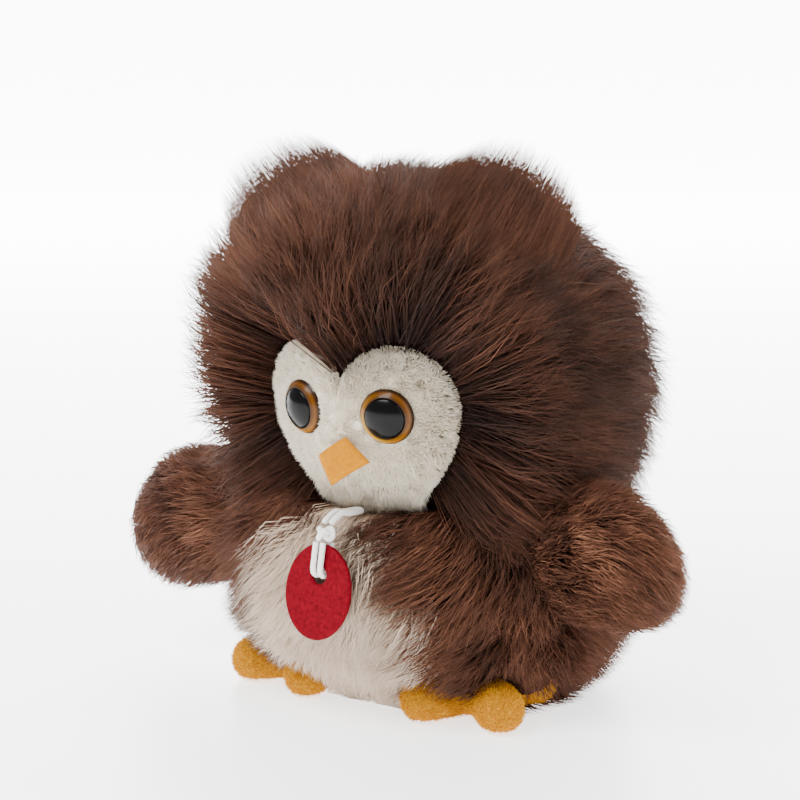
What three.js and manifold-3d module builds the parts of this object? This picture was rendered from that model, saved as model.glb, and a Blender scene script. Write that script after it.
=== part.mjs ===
// A small sitting plush owl, built the way it is sewn: pile covers over fillings, safety eyes,
// a felt beak and a felt tag on an elastic cord. The pile is part of each cover's thickness.
// Millimetres and degrees. +Z is up, the owl faces -Y and its own left is +X.
// The origin is on the floor, under the middle of the base panel.
import * as THREE from 'three';
import { mergeVertices } from 'three/addons/utils/BufferGeometryUtils.js';
import Module from 'manifold-3d';

const wasm = await Module();
wasm.setup();
const degree = Math.PI / 180;

// Gap kept between pieces that are sewn or pressed together, and the thickness of the fabrics
const seamGap = 0.3;
const fabricThickness = 1.6;

// Head: half sizes of its filling, its place, and the pile that stands on the fabric round it
const headHeight = 105.7;
const headTurn = -0.5;
const headHalfWidth = 46;
const headHalfDepth = 43;
const headHalfHeight = 46;
const crownPile = 20.5;
const cheekPile = 28;
const napePile = 25;
const browPile = 21;
const crownSquareness = 0.4;
const neckHeight = 66;
const pileColumns = 40;
const pileRows = 26;

// Face mask: two round lobes over a long chin, drawn in degrees from the middle of the head
const lobeAzimuth = 22;
const lobeLatitude = -4.5;
const lobeRadius = 25.5;
const chinDrop = 53.5;
const maskNap = 2.6;
const pileRampAngle = 20;

// Safety eyes: amber dome on a stem, black pupil in its middle, locking washer inside
const eyeAzimuth = 21.4;
const eyeLatitude = -7;
const eyeTurn = 16;
const eyeRadius = 9;
const eyeDomeHeight = 5.2;
const eyeRimHeight = 0.9;
const pupilRadius = 6.5;
const pupilSeatDepth = 1.4;
const stemRadius = 2.1;
const stemLength = 13;
const washerRadius = 8;
const washerThickness = 1.6;
const washerDepth = 3.2;
const socketSpread = 14;

// Beak: a felt kite, curved across, that stands out from the face at its lower tip
const beakHalfWidth = 9.8;
const beakUpperLength = 6.6;
const beakLowerLength = 10;
const beakThickness = 2.2;
const beakCurve = 18;
const beakTilt = 30;
const beakAzimuth = 4;
const beakLatitude = -16.5;

// Ear tufts, in the crown's upper corners
const earAzimuth = 72.5;
const earLatitude = 58;
const earReach = 84;
const earHalfLength = 22;
const earHalfWidth = 18;

// Body: half width of its filling, how far that tapers below and above, and its pile
const bodyHalfWidth = 44.5;
const bodyWidestHeight = 28;
const bodyLowerTaper = 34;
const bodyUpperTaper = 51.4;
const bodySetBack = 6;
const sidePile = 22;
const bellyPile = 18;
const throatTuck = 8;
const hemTuck = 11;
const shoulderFlare = 6;
const pelletLevel = 15;
const basePanelRadius = 26.7;
const basePanelThickness = 1.3;

// Belly panel: its half angles round the body at the neck, at its widest and at the hem
const bellyNeckAngle = 24;
const bellyWidestAngle = 40;
const bellyWidestHeight = 34;
const bellyHemAngle = 30;

// Wings: a flat paddle from the side seam out, with its filling, its place and its swing
const wingLength = 50.5;
const wingHalfHeight = 26;
const wingHalfThickness = 14;
const wingRootHalfHeight = 14;
const wingRootHalfThickness = 4;
const wingPeak = 0.5;
const wingPileTip = 14;
const wingFillHalfHeight = 16;
const wingFillHalfThickness = 5;
const wingThroatHalfHeight = 5;
const wingThroatHalfThickness = 1.3;
const wingFillStart = 0.3;
const wingRootOverlap = 0.05;
const wingSeatAngle = 75;
const wingSeatHeight = 55;
const wingForward = 11.4;
const leftWingLift = 12;
const rightWingLift = -7;
const wingSwingBack = 20;
const wingSwingForward = 40;
const wingClearance = 0.9;

// Feet: each has three stuffed toes that meet in a low pad under the pile
const toeRadius = 7.7;
const toeRootRadius = 5.4;
const toeFlat = 0.5;
const archReach = 20;
const archRise = 12;
const footPad = { x: 33, y: -12, radius: 12 };
const toeTips = {
  inner: { x: 23.6, y: -33 },
  middle: { x: 49.8, y: -28.5 },
  outer: { x: 43, y: 3 },
};

// Hang tag and its elastic cord
const tagHalfWidth = 12.6;
const tagHalfHeight = 15.3;
const tagThickness = 2;
const tagHoleRadius = 2.8;
const tagHoleDrop = 10;
const tagDrop = 3.1;
const tagTilt = 11;
const cordDiameter = 1.9;
const strandSpacing = 2.7;
const knotForward = 54;
const knotHeight = 62.6;
const knotHalfWidth = 3.5;
const knotHalfDepth = 3.4;
const knotHalfHeight = 2.4;
const anchorForward = 35.4;

const cordRadius = cordDiameter / 2;

// Returns 0 below 0, 1 above 1 and an even S-shaped rise between.
function smooth(t) {
  const share = THREE.MathUtils.clamp(t, 0, 1);
  return share * share * (3 - 2 * share);
}

// Unit direction from an angle round from the face towards the owl's left, and one above level.
function facing(azimuth, latitude) {
  const level = Math.cos(latitude * degree);
  return new THREE.Vector3(
    Math.sin(azimuth * degree) * level,
    -Math.cos(azimuth * degree) * level,
    Math.sin(latitude * degree),
  );
}

// Solid from a closed geometry whose faces point out.
function solidOf(geometry) {
  const bare = geometry.clone();
  bare.deleteAttribute('normal');
  bare.deleteAttribute('uv');
  const merged = mergeVertices(bare, 1e-4);
  return new wasm.Manifold(new wasm.Mesh({
    numProp: 3,
    vertProperties: new Float32Array(merged.attributes.position.array),
    triVerts: new Uint32Array(merged.index.array),
  }));
}

// Geometry from a solid, ready for a mesh.
function geometryOf(solid) {
  const mesh = solid.getMesh();
  const geometry = new THREE.BufferGeometry();
  geometry.setAttribute('position', new THREE.BufferAttribute(new Float32Array(mesh.vertProperties), 3));
  geometry.setIndex(new THREE.BufferAttribute(new Uint32Array(mesh.triVerts), 1));
  geometry.computeVertexNormals();
  return geometry;
}

// The same solid after a move or turn.
function moved(solid, matrix) {
  return solidOf(geometryOf(solid).applyMatrix4(matrix));
}

// Closed surface from points and the corners of its faces.
function surface(points, corners) {
  const geometry = new THREE.BufferGeometry().setFromPoints(points);
  geometry.setIndex(corners);
  return geometry;
}

// Closed skin over rings of points, with a fan of faces from a point at each end.
function skin(rings, start, end) {
  const columns = rings[0].length;
  const lastRing = 1 + (rings.length - 1) * columns;
  const endPoint = 1 + rings.length * columns;
  const corners = [];
  for (let column = 0; column < columns; column += 1) {
    const next = (column + 1) % columns;
    corners.push(0, 1 + next, 1 + column);
    for (let low = 1; low < lastRing; low += columns) {
      const high = low + columns;
      corners.push(low + column, low + next, high + next);
      corners.push(low + column, high + next, high + column);
    }
    corners.push(lastRing + column, lastRing + next, endPoint);
  }
  return surface([start, ...rings.flat(), end], corners);
}

// Closed surface round the origin whose reach is a function of the direction.
function ball(reach, columns, rows) {
  const point = (azimuth, latitude) => {
    const direction = facing(azimuth, latitude);
    return direction.multiplyScalar(reach(direction.clone()));
  };
  const rings = [];
  for (let row = 1; row < rows; row += 1) {
    const latitude = -90 + (180 * row) / rows;
    const ring = [];
    for (let column = 0; column < columns; column += 1) {
      ring.push(point((360 * column) / columns, latitude));
    }
    rings.push(ring);
  }
  return solidOf(skin(rings, point(0, -90), point(0, 90)));
}

// Box that fills everything below a height, or above it.
function halfSpace(height, side) {
  const size = 400;
  const box = new THREE.BoxGeometry(size, size, size);
  return solidOf(box.translate(0, 0, height + (side * size) / 2));
}

function below(height) {
  return halfSpace(height, -1);
}

function above(height) {
  return halfSpace(height, 1);
}

// Head. All its solids are worked out round its own centre, with the face towards -Y.
const neckDrop = neckHeight - headHeight;
const eyes = { left: facing(eyeAzimuth, eyeLatitude), right: facing(-eyeAzimuth, eyeLatitude) };
const lobes = [facing(lobeAzimuth, lobeLatitude), facing(-lobeAzimuth, lobeLatitude)];
const chin = facing(0, lobeLatitude - chinDrop / 4);
const chinRadius = lobeAzimuth + lobeRadius - 3;

// Reach of the head's filling.
function headReach(direction) {
  return 1 / Math.hypot(
    direction.x / headHalfWidth,
    direction.y / headHalfDepth,
    direction.z / headHalfHeight,
  );
}

// Reach of the mask's short nap, which each eye presses flat round itself.
function napReach(direction) {
  const press = (eye) => Math.exp(-((direction.angleTo(eye) / degree / socketSpread) ** 2));
  const nap = maskNap * (1 - press(eyes.left)) * (1 - press(eyes.right));
  return headReach(direction) + fabricThickness + nap;
}

// Reach of the brown pile: a rounded block, squarer at the crown, that rises from the mask's edge.
function pileReach(direction) {
  const power = 2 + crownSquareness * smooth(direction.z * 2);
  const width = headHalfWidth + fabricThickness + cheekPile;
  const depth = headHalfDepth + fabricThickness + (direction.y > 0 ? napePile : browPile);
  const height = headHalfHeight + fabricThickness + (direction.z > 0 ? crownPile : cheekPile);
  const sum = (Math.abs(direction.x) / width) ** power
    + (Math.abs(direction.y) / depth) ** power
    + (Math.abs(direction.z) / height) ** power;
  const full = sum ** (-1 / power);
  const outside = Math.min(
    direction.angleTo(lobes[0]) / degree - lobeRadius,
    direction.angleTo(lobes[1]) / degree - lobeRadius,
    direction.angleTo(chin) / degree - chinRadius,
  );
  const edge = headReach(direction) + fabricThickness + maskNap;
  return edge + (full - edge) * smooth(outside / pileRampAngle);
}

// Mask outline in degrees: right lobe, chin, left lobe, with the notch between the lobes.
function maskOutline(grow) {
  const radius = lobeRadius + grow;
  const notch = Math.acos(lobeAzimuth / radius);
  const shape = new THREE.Shape();
  shape.absarc(lobeAzimuth, lobeLatitude, radius, Math.PI - notch, 0, true);
  shape.absellipse(0, lobeLatitude, lobeAzimuth + radius, chinDrop + grow, 0, Math.PI, true);
  shape.absarc(-lobeAzimuth, lobeLatitude, radius, Math.PI, notch, true);
  const points = shape.getPoints(9);
  points.pop();
  return points.reverse();
}

// Wedge from the head's centre out through the mask's outline.
function maskWedge(grow) {
  const reach = 200;
  const outline = maskOutline(grow);
  const rim = outline.map((point) => facing(point.x, point.y).multiplyScalar(reach));
  const corners = THREE.ShapeUtils.triangulateShape(outline, []).flat().map((corner) => corner + 1);
  rim.forEach((_, index) => {
    corners.push(0, 1 + ((index + 1) % rim.length), 1 + index);
  });
  return solidOf(surface([new THREE.Vector3(), ...rim], corners));
}

// Turned solid about the local Y axis, from a profile that starts and ends on the axis.
function turned(profile, segments) {
  return new THREE.LatheGeometry(profile.map(([x, y]) => new THREE.Vector2(x, y)), segments);
}

// Points of the eye's dome from one radius to another, going out.
function domeCurve(from, to, steps) {
  const rise = eyeDomeHeight - eyeRimHeight;
  const curve = (eyeRadius ** 2 + rise ** 2) / (2 * rise);
  const points = [];
  for (let step = 0; step <= steps; step += 1) {
    const radius = from + ((to - from) * step) / steps;
    points.push([radius, seamGap + eyeDomeHeight - curve + Math.sqrt(curve ** 2 - radius ** 2)]);
  }
  return points;
}

// Eye pieces, turned about the eye's axis, with the mask's fabric at height 0.
const pupilSeat = seamGap + pupilSeatDepth;
const eyeGeometry = turned([
  [0, pupilSeat],
  [pupilRadius + seamGap, pupilSeat],
  ...domeCurve(pupilRadius + seamGap, eyeRadius, 4),
  [eyeRadius, seamGap],
  [stemRadius, seamGap],
  [stemRadius, -stemLength],
  [0, -stemLength],
].reverse(), 26);
const pupilGeometry = turned([
  ...domeCurve(0, pupilRadius, 5),
  [pupilRadius, pupilSeat + seamGap],
  [0, pupilSeat + seamGap],
].reverse(), 24);
const washerGeometry = turned([
  [stemRadius + seamGap, -washerDepth],
  [washerRadius, -washerDepth],
  [washerRadius, -washerDepth - washerThickness],
  [stemRadius + seamGap, -washerDepth - washerThickness],
  [stemRadius + seamGap, -washerDepth],
].reverse(), 24);

// Room that an eye needs in the mask: a seat for its rim and a hole for its stem.
const eyeSeat = turned([
  [0, 30],
  [eyeRadius + seamGap, 30],
  [eyeRadius + seamGap, 0],
  [stemRadius + seamGap, 0],
  [stemRadius + seamGap, -stemLength],
  [0, -stemLength],
].reverse(), 24);

// Room that the washer and the stem press into the filling, open towards the fabric.
const washerRoom = turned([
  [0, 0],
  [washerRadius + seamGap, 0],
  [washerRadius + seamGap, -washerDepth - washerThickness - seamGap],
  [stemRadius + seamGap, -washerDepth - washerThickness - seamGap],
  [stemRadius + seamGap, -stemLength - seamGap],
  [0, -stemLength - seamGap],
].reverse(), 16);

// Place and turn of an eye's axis on the head.
function eyePlace(side) {
  const direction = eyes[side];
  const position = direction.clone().multiplyScalar(headReach(direction) + fabricThickness);
  const front = facing(side === 'left' ? eyeTurn : -eyeTurn, eyeLatitude);
  const turn = new THREE.Quaternion().setFromUnitVectors(new THREE.Vector3(0, 1, 0), front);
  return { position, turn };
}

// Solid with the same place and turn as an eye.
function atEye(geometry, side) {
  const { position, turn } = eyePlace(side);
  const matrix = new THREE.Matrix4().compose(position, turn, new THREE.Vector3(1, 1, 1));
  return solidOf(geometry.clone().applyMatrix4(matrix));
}

const headPile = ball(pileReach, pileColumns, pileRows).subtract(below(neckDrop));
const headHollow = ball(headReach, 24, 16);
const seamAngle = seamGap / headHalfDepth / degree;

const headCover = headPile.subtract(headHollow).subtract(maskWedge(seamAngle));
const faceMask = ball(napReach, 44, 30)
  .subtract(headHollow)
  .intersect(maskWedge(0))
  .subtract(below(neckDrop + seamGap))
  .subtract(atEye(eyeSeat, 'left'))
  .subtract(atEye(eyeSeat, 'right'));
const headFilling = ball((direction) => headReach(direction) - seamGap, 24, 16)
  .subtract(below(neckDrop))
  .subtract(atEye(washerRoom, 'left'))
  .subtract(atEye(washerRoom, 'right'));

// Ear tuft: an upright egg of pile, cut by the crown's pile.
function earTuft(side) {
  const direction = facing(side * earAzimuth, earLatitude);
  const egg = new THREE.SphereGeometry(1, 18, 12);
  egg.scale(earHalfWidth, earHalfLength, earHalfWidth);
  const turn = new THREE.Quaternion().setFromUnitVectors(new THREE.Vector3(0, 1, 0), direction);
  egg.applyQuaternion(turn);
  const centre = direction.clone().multiplyScalar(earReach - earHalfLength);
  egg.translate(centre.x, centre.y, centre.z);
  return solidOf(egg).subtract(ball((d) => pileReach(d) + seamGap, pileColumns, pileRows));
}

// Beak: rings from the lower tip up to the origin, each a curved strip of felt, as wide as the kite.
function beak() {
  const length = beakLowerLength + beakUpperLength;
  const tip = 0.4;
  const rings = [];
  for (const share of [0, 0.2, 0.4, 0.6, 0.7, 0.8, 0.9, 1]) {
    const height = (share - 1) * length;
    const edge = Math.min(-height / beakUpperLength, 1 + (height + beakUpperLength) / beakLowerLength);
    const halfWidth = Math.max(tip, beakHalfWidth * edge);
    const strip = (across, depth) => new THREE.Vector3(
      across * halfWidth,
      depth + (across * halfWidth) ** 2 / (2 * beakCurve),
      height,
    );
    const steps = [-1, -0.5, 0, 0.5, 1];
    const front = steps.map((across) => strip(across, -beakThickness));
    const back = steps.map((across) => strip(-across, 0));
    rings.push([...front, ...back]);
  }
  const middle = -beakThickness / 2;
  const start = new THREE.Vector3(0, middle, -length);
  const end = new THREE.Vector3(0, middle, 0);
  return skin(rings, start, end);
}

// Body. Its filling is round in plan, widest low down, and leans back from the neck.
const neckSpan = neckHeight - bodyWidestHeight;

function bodyRadius(height) {
  const taper = height < bodyWidestHeight ? bodyLowerTaper : bodyUpperTaper;
  return bodyHalfWidth * Math.sqrt(1 - ((height - bodyWidestHeight) / taper) ** 2);
}

function bodyMiddle(height) {
  const lean = (height - bodyWidestHeight) / neckSpan;
  return bodySetBack * (1 - smooth(lean));
}

// Pile round the body: shorter on the belly, where it tucks in under the chin and at the hem, and
// fuller at the shoulders.
function bodyPile(height, azimuth) {
  const front = Math.max(0, Math.cos(azimuth * degree)) ** 2;
  const rise = smooth((height - bodyWidestHeight) / neckSpan);
  const drop = smooth((bodyWidestHeight - height) / bodyWidestHeight);
  const side = sidePile + shoulderFlare * rise;
  const belly = bellyPile - throatTuck * rise - hemTuck * drop;
  return fabricThickness + side + front * (belly - side);
}

// Closed body-shaped solid between two heights, with some thickness added to the filling's radius.
function bodySolid(from, to, added, columns, levels) {
  const rings = [];
  for (let level = 0; level <= levels; level += 1) {
    const height = from + ((to - from) * level) / levels;
    const ring = [];
    for (let column = 0; column < columns; column += 1) {
      const azimuth = (360 * column) / columns;
      const point = facing(azimuth, 0).multiplyScalar(bodyRadius(height) + added(height, azimuth));
      ring.push(point.setZ(height).setY(point.y + bodyMiddle(height)));
    }
    rings.push(ring);
  }
  const start = new THREE.Vector3(0, bodyMiddle(from), from);
  const end = new THREE.Vector3(0, bodyMiddle(to), to);
  return solidOf(skin(rings, start, end));
}

// Half angle of the belly panel at a height.
function bellyAngle(height) {
  const up = height > bellyWidestHeight;
  const span = up ? neckHeight - bellyWidestHeight : bellyWidestHeight;
  const narrowing = bellyWidestAngle - (up ? bellyNeckAngle : bellyHemAngle);
  return bellyWidestAngle - narrowing * ((height - bellyWidestHeight) / span) ** 2;
}

// Upright wedge through the belly panel's outline, with corners just outside the pile and far out.
function bellyWedge(grow) {
  const reach = 150;
  const near = bodyHalfWidth + fabricThickness + sidePile + shoulderFlare;
  const levels = 9;
  const rings = [];
  for (let level = 0; level <= levels; level += 1) {
    const height = (neckHeight * level) / levels;
    const angle = bellyAngle(height) + grow;
    const at = (azimuth, radius) => facing(azimuth, 0)
      .multiplyScalar(radius)
      .add(new THREE.Vector3(0, bodySetBack, height));
    rings.push([at(0, 0), at(-angle, near), at(-angle, reach), at(angle, reach), at(angle, near)]);
  }
  const middle = (height) => new THREE.Vector3(0, bodySetBack - reach / 2, height);
  return solidOf(skin(rings, middle(0), middle(neckHeight)));
}

// One toe, from the foot's pad to its round tip, swelling on the way, with some thickness added.
function toe(tip, added, extra, rise) {
  const root = new THREE.Vector3(footPad.x, footPad.y, toeRootRadius);
  const end = new THREE.Vector3(tip.x, tip.y, toeRadius - toeFlat + rise);
  const along = end.clone().sub(root);
  const span = along.length();
  along.normalize();
  const across = new THREE.Vector3(0, 0, 1).cross(along).normalize();
  const up = along.clone().cross(across);
  const columns = 9;
  const rings = [];
  const ringAt = (distance, radius) => {
    const ring = [];
    for (let column = 0; column < columns; column += 1) {
      const angle = (2 * Math.PI * column) / columns;
      ring.push(root.clone()
        .addScaledVector(along, distance)
        .addScaledVector(across, radius * Math.cos(angle))
        .addScaledVector(up, radius * Math.sin(angle)));
    }
    rings.push(ring);
  };
  for (const share of [0, 0.35, 0.7]) {
    ringAt(span * share, toeRootRadius + (toeRadius - toeRootRadius) * smooth(share / 0.7) + added);
  }
  for (const turn of [0, 30, 60]) {
    const radius = toeRadius + added;
    ringAt(span + extra + radius * Math.sin(turn * degree), radius * Math.cos(turn * degree));
  }
  const tipPoint = root.clone().addScaledVector(along, span + extra + toeRadius + added);
  return solidOf(skin(rings, root, tipPoint));
}

// Left foot: three toes and the pad that joins them, flat on the floor and clear of the body.
function leftFoot(added, extra, rise) {
  const pad = new THREE.SphereGeometry(1, 12, 6);
  pad.scale(footPad.radius + added, footPad.radius + added, toeRootRadius + added);
  pad.translate(footPad.x, footPad.y, toeRootRadius);
  const toes = Object.values(toeTips).map((tip) => toe(tip, added, extra, rise));
  const wall = () => fabricThickness + 2 * seamGap - added;
  return toes
    .reduce((foot, one) => foot.add(one), solidOf(pad))
    .subtract(bodySolid(-1, neckHeight, wall, 24, 10))
    .subtract(below(-added));
}

// Mirror image across the owl's middle.
function mirrored(solid) {
  const geometry = geometryOf(solid).scale(-1, 1, 1);
  const corners = geometry.index.array;
  for (let face = 0; face < corners.length; face += 3) {
    const first = corners[face];
    corners[face] = corners[face + 1];
    corners[face + 1] = first;
  }
  return solidOf(geometry);
}

const bodyTop = neckHeight - seamGap;
const fillingBottom = basePanelThickness + seamGap;
const bodyPileSolid = bodySolid(0, bodyTop, bodyPile, 34, 10);
const bodyHollow = bodySolid(fillingBottom, neckHeight + 1, () => 0, 24, 10);
const baseHole = solidOf(new THREE.CylinderGeometry(
  basePanelRadius + seamGap,
  basePanelRadius + seamGap,
  4 * fillingBottom,
  32,
).rotateX(90 * degree).translate(0, bodySetBack, 0));
const leftFootRoom = leftFoot(seamGap, 0, 0).add(leftFoot(seamGap, archReach, archRise));
const footRooms = leftFootRoom.add(mirrored(leftFootRoom));
const bodyShell = bodyPileSolid.subtract(bodyHollow).subtract(baseHole).subtract(footRooms);
const bellySeamAngle = seamGap / bodyRadius(neckHeight) / degree;
const bodyCover = bodyShell.subtract(bellyWedge(bellySeamAngle));
const bellyPanel = bodyShell.intersect(bellyWedge(0));
const inner = bodySolid(fillingBottom, bodyTop, () => -seamGap, 24, 10);
const bodyFilling = inner.subtract(below(pelletLevel + seamGap));
const pelletBag = inner.subtract(above(pelletLevel));

// Wing, in its own frame: X runs out from the seam, Y through its thickness, Z up its height.
// Share of the full size at a share of the length: it swells to the peak and rounds off to the tip.
function wingSwell(share, root) {
  if (share < wingPeak) {
    return root + (1 - root) * Math.sin((share / wingPeak) * 90 * degree);
  }
  return Math.sqrt(Math.max(0, 1 - ((share - wingPeak) / (1 - wingPeak)) ** 2));
}

function paddle(size, columns, levels) {
  const rings = [];
  const last = 0.985;
  for (let level = 0; level <= levels; level += 1) {
    const even = level / levels;
    const share = size.from + (last - size.from) * Math.sin(even * 90 * degree);
    const height = size.halfHeight * wingSwell(share, size.rootHalfHeight / size.halfHeight);
    const depth = size.halfThickness * wingSwell(share, size.rootHalfThickness / size.halfThickness);
    const ring = [];
    for (let column = 0; column < columns; column += 1) {
      const angle = (2 * Math.PI * column) / columns;
      ring.push(new THREE.Vector3(
        size.length * share,
        (depth - size.inset) * Math.cos(angle),
        (height - size.inset) * Math.sin(angle),
      ));
    }
    rings.push(ring);
  }
  const start = new THREE.Vector3(size.length * size.from, 0, 0);
  const end = new THREE.Vector3(size.length - size.inset, 0, 0);
  return solidOf(skin(rings, start, end));
}

const wingOuter = {
  from: -wingRootOverlap,
  length: wingLength,
  halfHeight: wingHalfHeight,
  halfThickness: wingHalfThickness,
  rootHalfHeight: wingRootHalfHeight,
  rootHalfThickness: wingRootHalfThickness,
  inset: 0,
};
const wingHollow = {
  from: -0.02,
  length: wingLength - wingPileTip,
  halfHeight: wingFillHalfHeight,
  halfThickness: wingFillHalfThickness,
  rootHalfHeight: wingThroatHalfHeight,
  rootHalfThickness: wingThroatHalfThickness,
  inset: -seamGap,
};
const wingStuffing = { ...wingHollow, from: wingFillStart, inset: seamGap };

// Place of the side seam's middle, on the body's pile, where the wing's swing axis stands.
function wingSeat(side) {
  const reach = bodyRadius(wingSeatHeight) + bodyPile(wingSeatHeight, wingSeatAngle) + seamGap;
  const seat = facing(side * wingSeatAngle, 0).multiplyScalar(reach);
  return seat.setZ(wingSeatHeight).setY(seat.y + bodyMiddle(wingSeatHeight));
}

// Turn of a wing at rest: forward of straight out, and lifted or let down.
function wingTurn(side, lift) {
  const heading = side > 0 ? -wingForward : 180 + wingForward;
  return new THREE.Euler(0, -lift * degree, heading * degree, 'ZYX');
}

// Room that the head and body take up as a wing swings, seen from the wing's own frame.
const headTurned = new THREE.Matrix4().makeRotationZ(headTurn * degree).setPosition(0, 0, headHeight);
const headRoom = moved(
  ball((direction) => pileReach(direction) + wingClearance, pileColumns, pileRows).subtract(below(neckDrop - wingClearance)),
  headTurned,
);
const bodyRoom = bodySolid(
  0,
  bodyTop,
  (height, azimuth) => bodyPile(height, azimuth) + seamGap,
  34,
  10,
);
const wingRoom = headRoom.add(bodyRoom);

function wing(side, lift) {
  const seat = wingSeat(side);
  const rest = new THREE.Matrix4()
    .makeRotationFromEuler(wingTurn(side, lift))
    .setPosition(seat);
  let cover = paddle(wingOuter, 18, 11);
  for (const swing of [-wingSwingBack, 0, wingSwingForward / 2, wingSwingForward]) {
    const turn = new THREE.Matrix4().makeRotationZ(-side * swing * degree);
    const toSeat = new THREE.Matrix4().makeTranslation(seat);
    const fromSeat = toSeat.clone().invert();
    const swung = toSeat.multiply(turn).multiply(fromSeat).multiply(rest);
    cover = cover.subtract(moved(wingRoom, swung.invert()));
  }
  return {
    cover: cover.subtract(paddle(wingHollow, 12, 8)),
    filling: paddle(wingStuffing, 12, 7),
  };
}

// Hang tag in the knot's frame: the knot's centre is the origin and the tag hangs along -Z.
function tag() {
  const middle = -tagDrop - tagHalfHeight;
  const shape = new THREE.Shape();
  shape.absellipse(0, middle, tagHalfWidth, tagHalfHeight, 0, 2 * Math.PI, false);
  const hole = new THREE.Path();
  hole.absarc(0, -tagDrop - tagHoleDrop, tagHoleRadius, 0, 2 * Math.PI, true);
  shape.holes.push(hole);
  const options = { depth: tagThickness, bevelEnabled: false, curveSegments: 20 };
  return new THREE.ExtrudeGeometry(shape, options)
    .rotateX(90 * degree)
    .translate(0, tagThickness / 2, 0);
}

// Elastic cord along points, with straight ends.
function cord(points, steps) {
  const section = new THREE.Shape();
  section.absarc(0, 0, cordRadius, 0, 2 * Math.PI, false);
  const path = new THREE.CatmullRomCurve3(points.map(([x, y, z]) => new THREE.Vector3(x, y, z)));
  return new THREE.ExtrudeGeometry(section, { steps, extrudePath: path, curveSegments: 4 });
}

// Strand that runs down the tag's front, through its hole and up its back to the knot.
function tagStrand(side) {
  const across = (side * strandSpacing) / 2;
  const offset = tagThickness / 2 + cordRadius + seamGap;
  const knotBottom = -knotHalfHeight - seamGap;
  const holeMiddle = -tagDrop - tagHoleDrop;
  const bend = holeMiddle + offset;
  const points = [
    [across, -offset, knotBottom],
    [across, -offset, (2 * knotBottom + bend) / 3],
    [across, -offset, (knotBottom + 2 * bend) / 3],
    [across, -offset, bend],
  ];
  for (const turn of [45, 90, 135]) {
    points.push([
      across,
      -offset * Math.cos(turn * degree),
      bend - offset * Math.sin(turn * degree),
    ]);
  }
  points.push([across, offset, bend]);
  points.push([across, offset, (knotBottom + 2 * bend) / 3]);
  points.push([across, offset, (2 * knotBottom + bend) / 3]);
  points.push([across, offset, knotBottom]);
  return cord(points, 30);
}

// Hanger: two strands from the knot back over the belly's top edge, joined in a bend at the neck seam.
function hanger() {
  const across = strandSpacing / 2;
  const resting = bodyTop + seamGap + cordRadius;
  const start = knotForward - knotHalfDepth * 0.5;
  const top = knotHeight + knotHalfHeight;
  const bend = anchorForward + across;
  return cord([
    [-across, -start, top + cordRadius],
    [-across, -start + 2.4, top + cordRadius + 1.2],
    [-across, -start + 6, resting + 1.2],
    [-across, -(start + bend) / 2 + 2, resting + 0.4],
    [-across, -bend, resting],
    [-across * 0.7, -anchorForward - across * 0.3, resting],
    [0, -anchorForward, resting],
    [across * 0.7, -anchorForward - across * 0.3, resting],
    [across, -bend, resting],
    [across, -(start + bend) / 2 + 2, resting + 0.4],
    [across, -start + 6, resting + 1.2],
    [across, -start + 2.4, top + cordRadius + 1.2],
    [across, -start, top + cordRadius],
  ], 34);
}

// Knot: a small round lump of wound cord.
function knot() {
  return new THREE.SphereGeometry(1, 16, 10).scale(knotHalfWidth, knotHalfDepth, knotHalfHeight);
}

// Colours and finishes
const cloth = (color) => new THREE.MeshStandardMaterial({ color, roughness: 0.95, metalness: 0 });
const brownPlush = cloth('#4d2c20');
const whitePlush = cloth('#ddd3c9');
const creamPlush = cloth('#e6e1d7');
const yellowPlush = cloth('#d39a2a');
const orangeFelt = cloth('#eda12f');
const redFelt = cloth('#b41c33');
const whiteElastic = cloth('#eeeae4');
const polyesterFibre = cloth('#f2f1ee');
const calico = cloth('#c9bda6');
const pelletCloth = cloth('#b9b4aa');
const amberPlastic = new THREE.MeshStandardMaterial({ color: '#c98a1c', roughness: 0.12, metalness: 0 });
const blackPlastic = new THREE.MeshStandardMaterial({ color: '#0c0b0b', roughness: 0.1, metalness: 0 });
const washerPlastic = new THREE.MeshStandardMaterial({ color: '#e8e6e0', roughness: 0.5, metalness: 0 });

// Adds one named piece to a group.
function piece(group, name, geometry, material) {
  const mesh = new THREE.Mesh(geometry, material);
  mesh.name = name;
  group.add(mesh);
  return mesh;
}

const owl = new THREE.Group();

const head = new THREE.Group();
head.position.z = headHeight;
head.rotation.z = headTurn * degree;
owl.add(head);
piece(head, 'head_cover', geometryOf(headCover), brownPlush);
piece(head, 'face_mask', geometryOf(faceMask), creamPlush);
piece(head, 'head_filling', geometryOf(headFilling), polyesterFibre);
piece(head, 'ear_left', geometryOf(earTuft(1)), brownPlush);
piece(head, 'ear_right', geometryOf(earTuft(-1)), brownPlush);
for (const side of ['left', 'right']) {
  const eye = new THREE.Group();
  const { position, turn } = eyePlace(side);
  eye.position.copy(position);
  eye.quaternion.copy(turn);
  head.add(eye);
  piece(eye, `eye_${side}`, eyeGeometry, amberPlastic);
  piece(eye, `pupil_${side}`, pupilGeometry, blackPlastic);
  piece(eye, `eye_washer_${side}`, washerGeometry, washerPlastic);
}
const beakSeat = facing(beakAzimuth, beakLatitude);
const beakMesh = piece(head, 'beak', beak(), orangeFelt);
beakMesh.position.copy(beakSeat).multiplyScalar(napReach(beakSeat) + seamGap);
beakMesh.rotation.set(-beakTilt * degree, 0, beakAzimuth * degree, 'ZYX');

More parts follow.
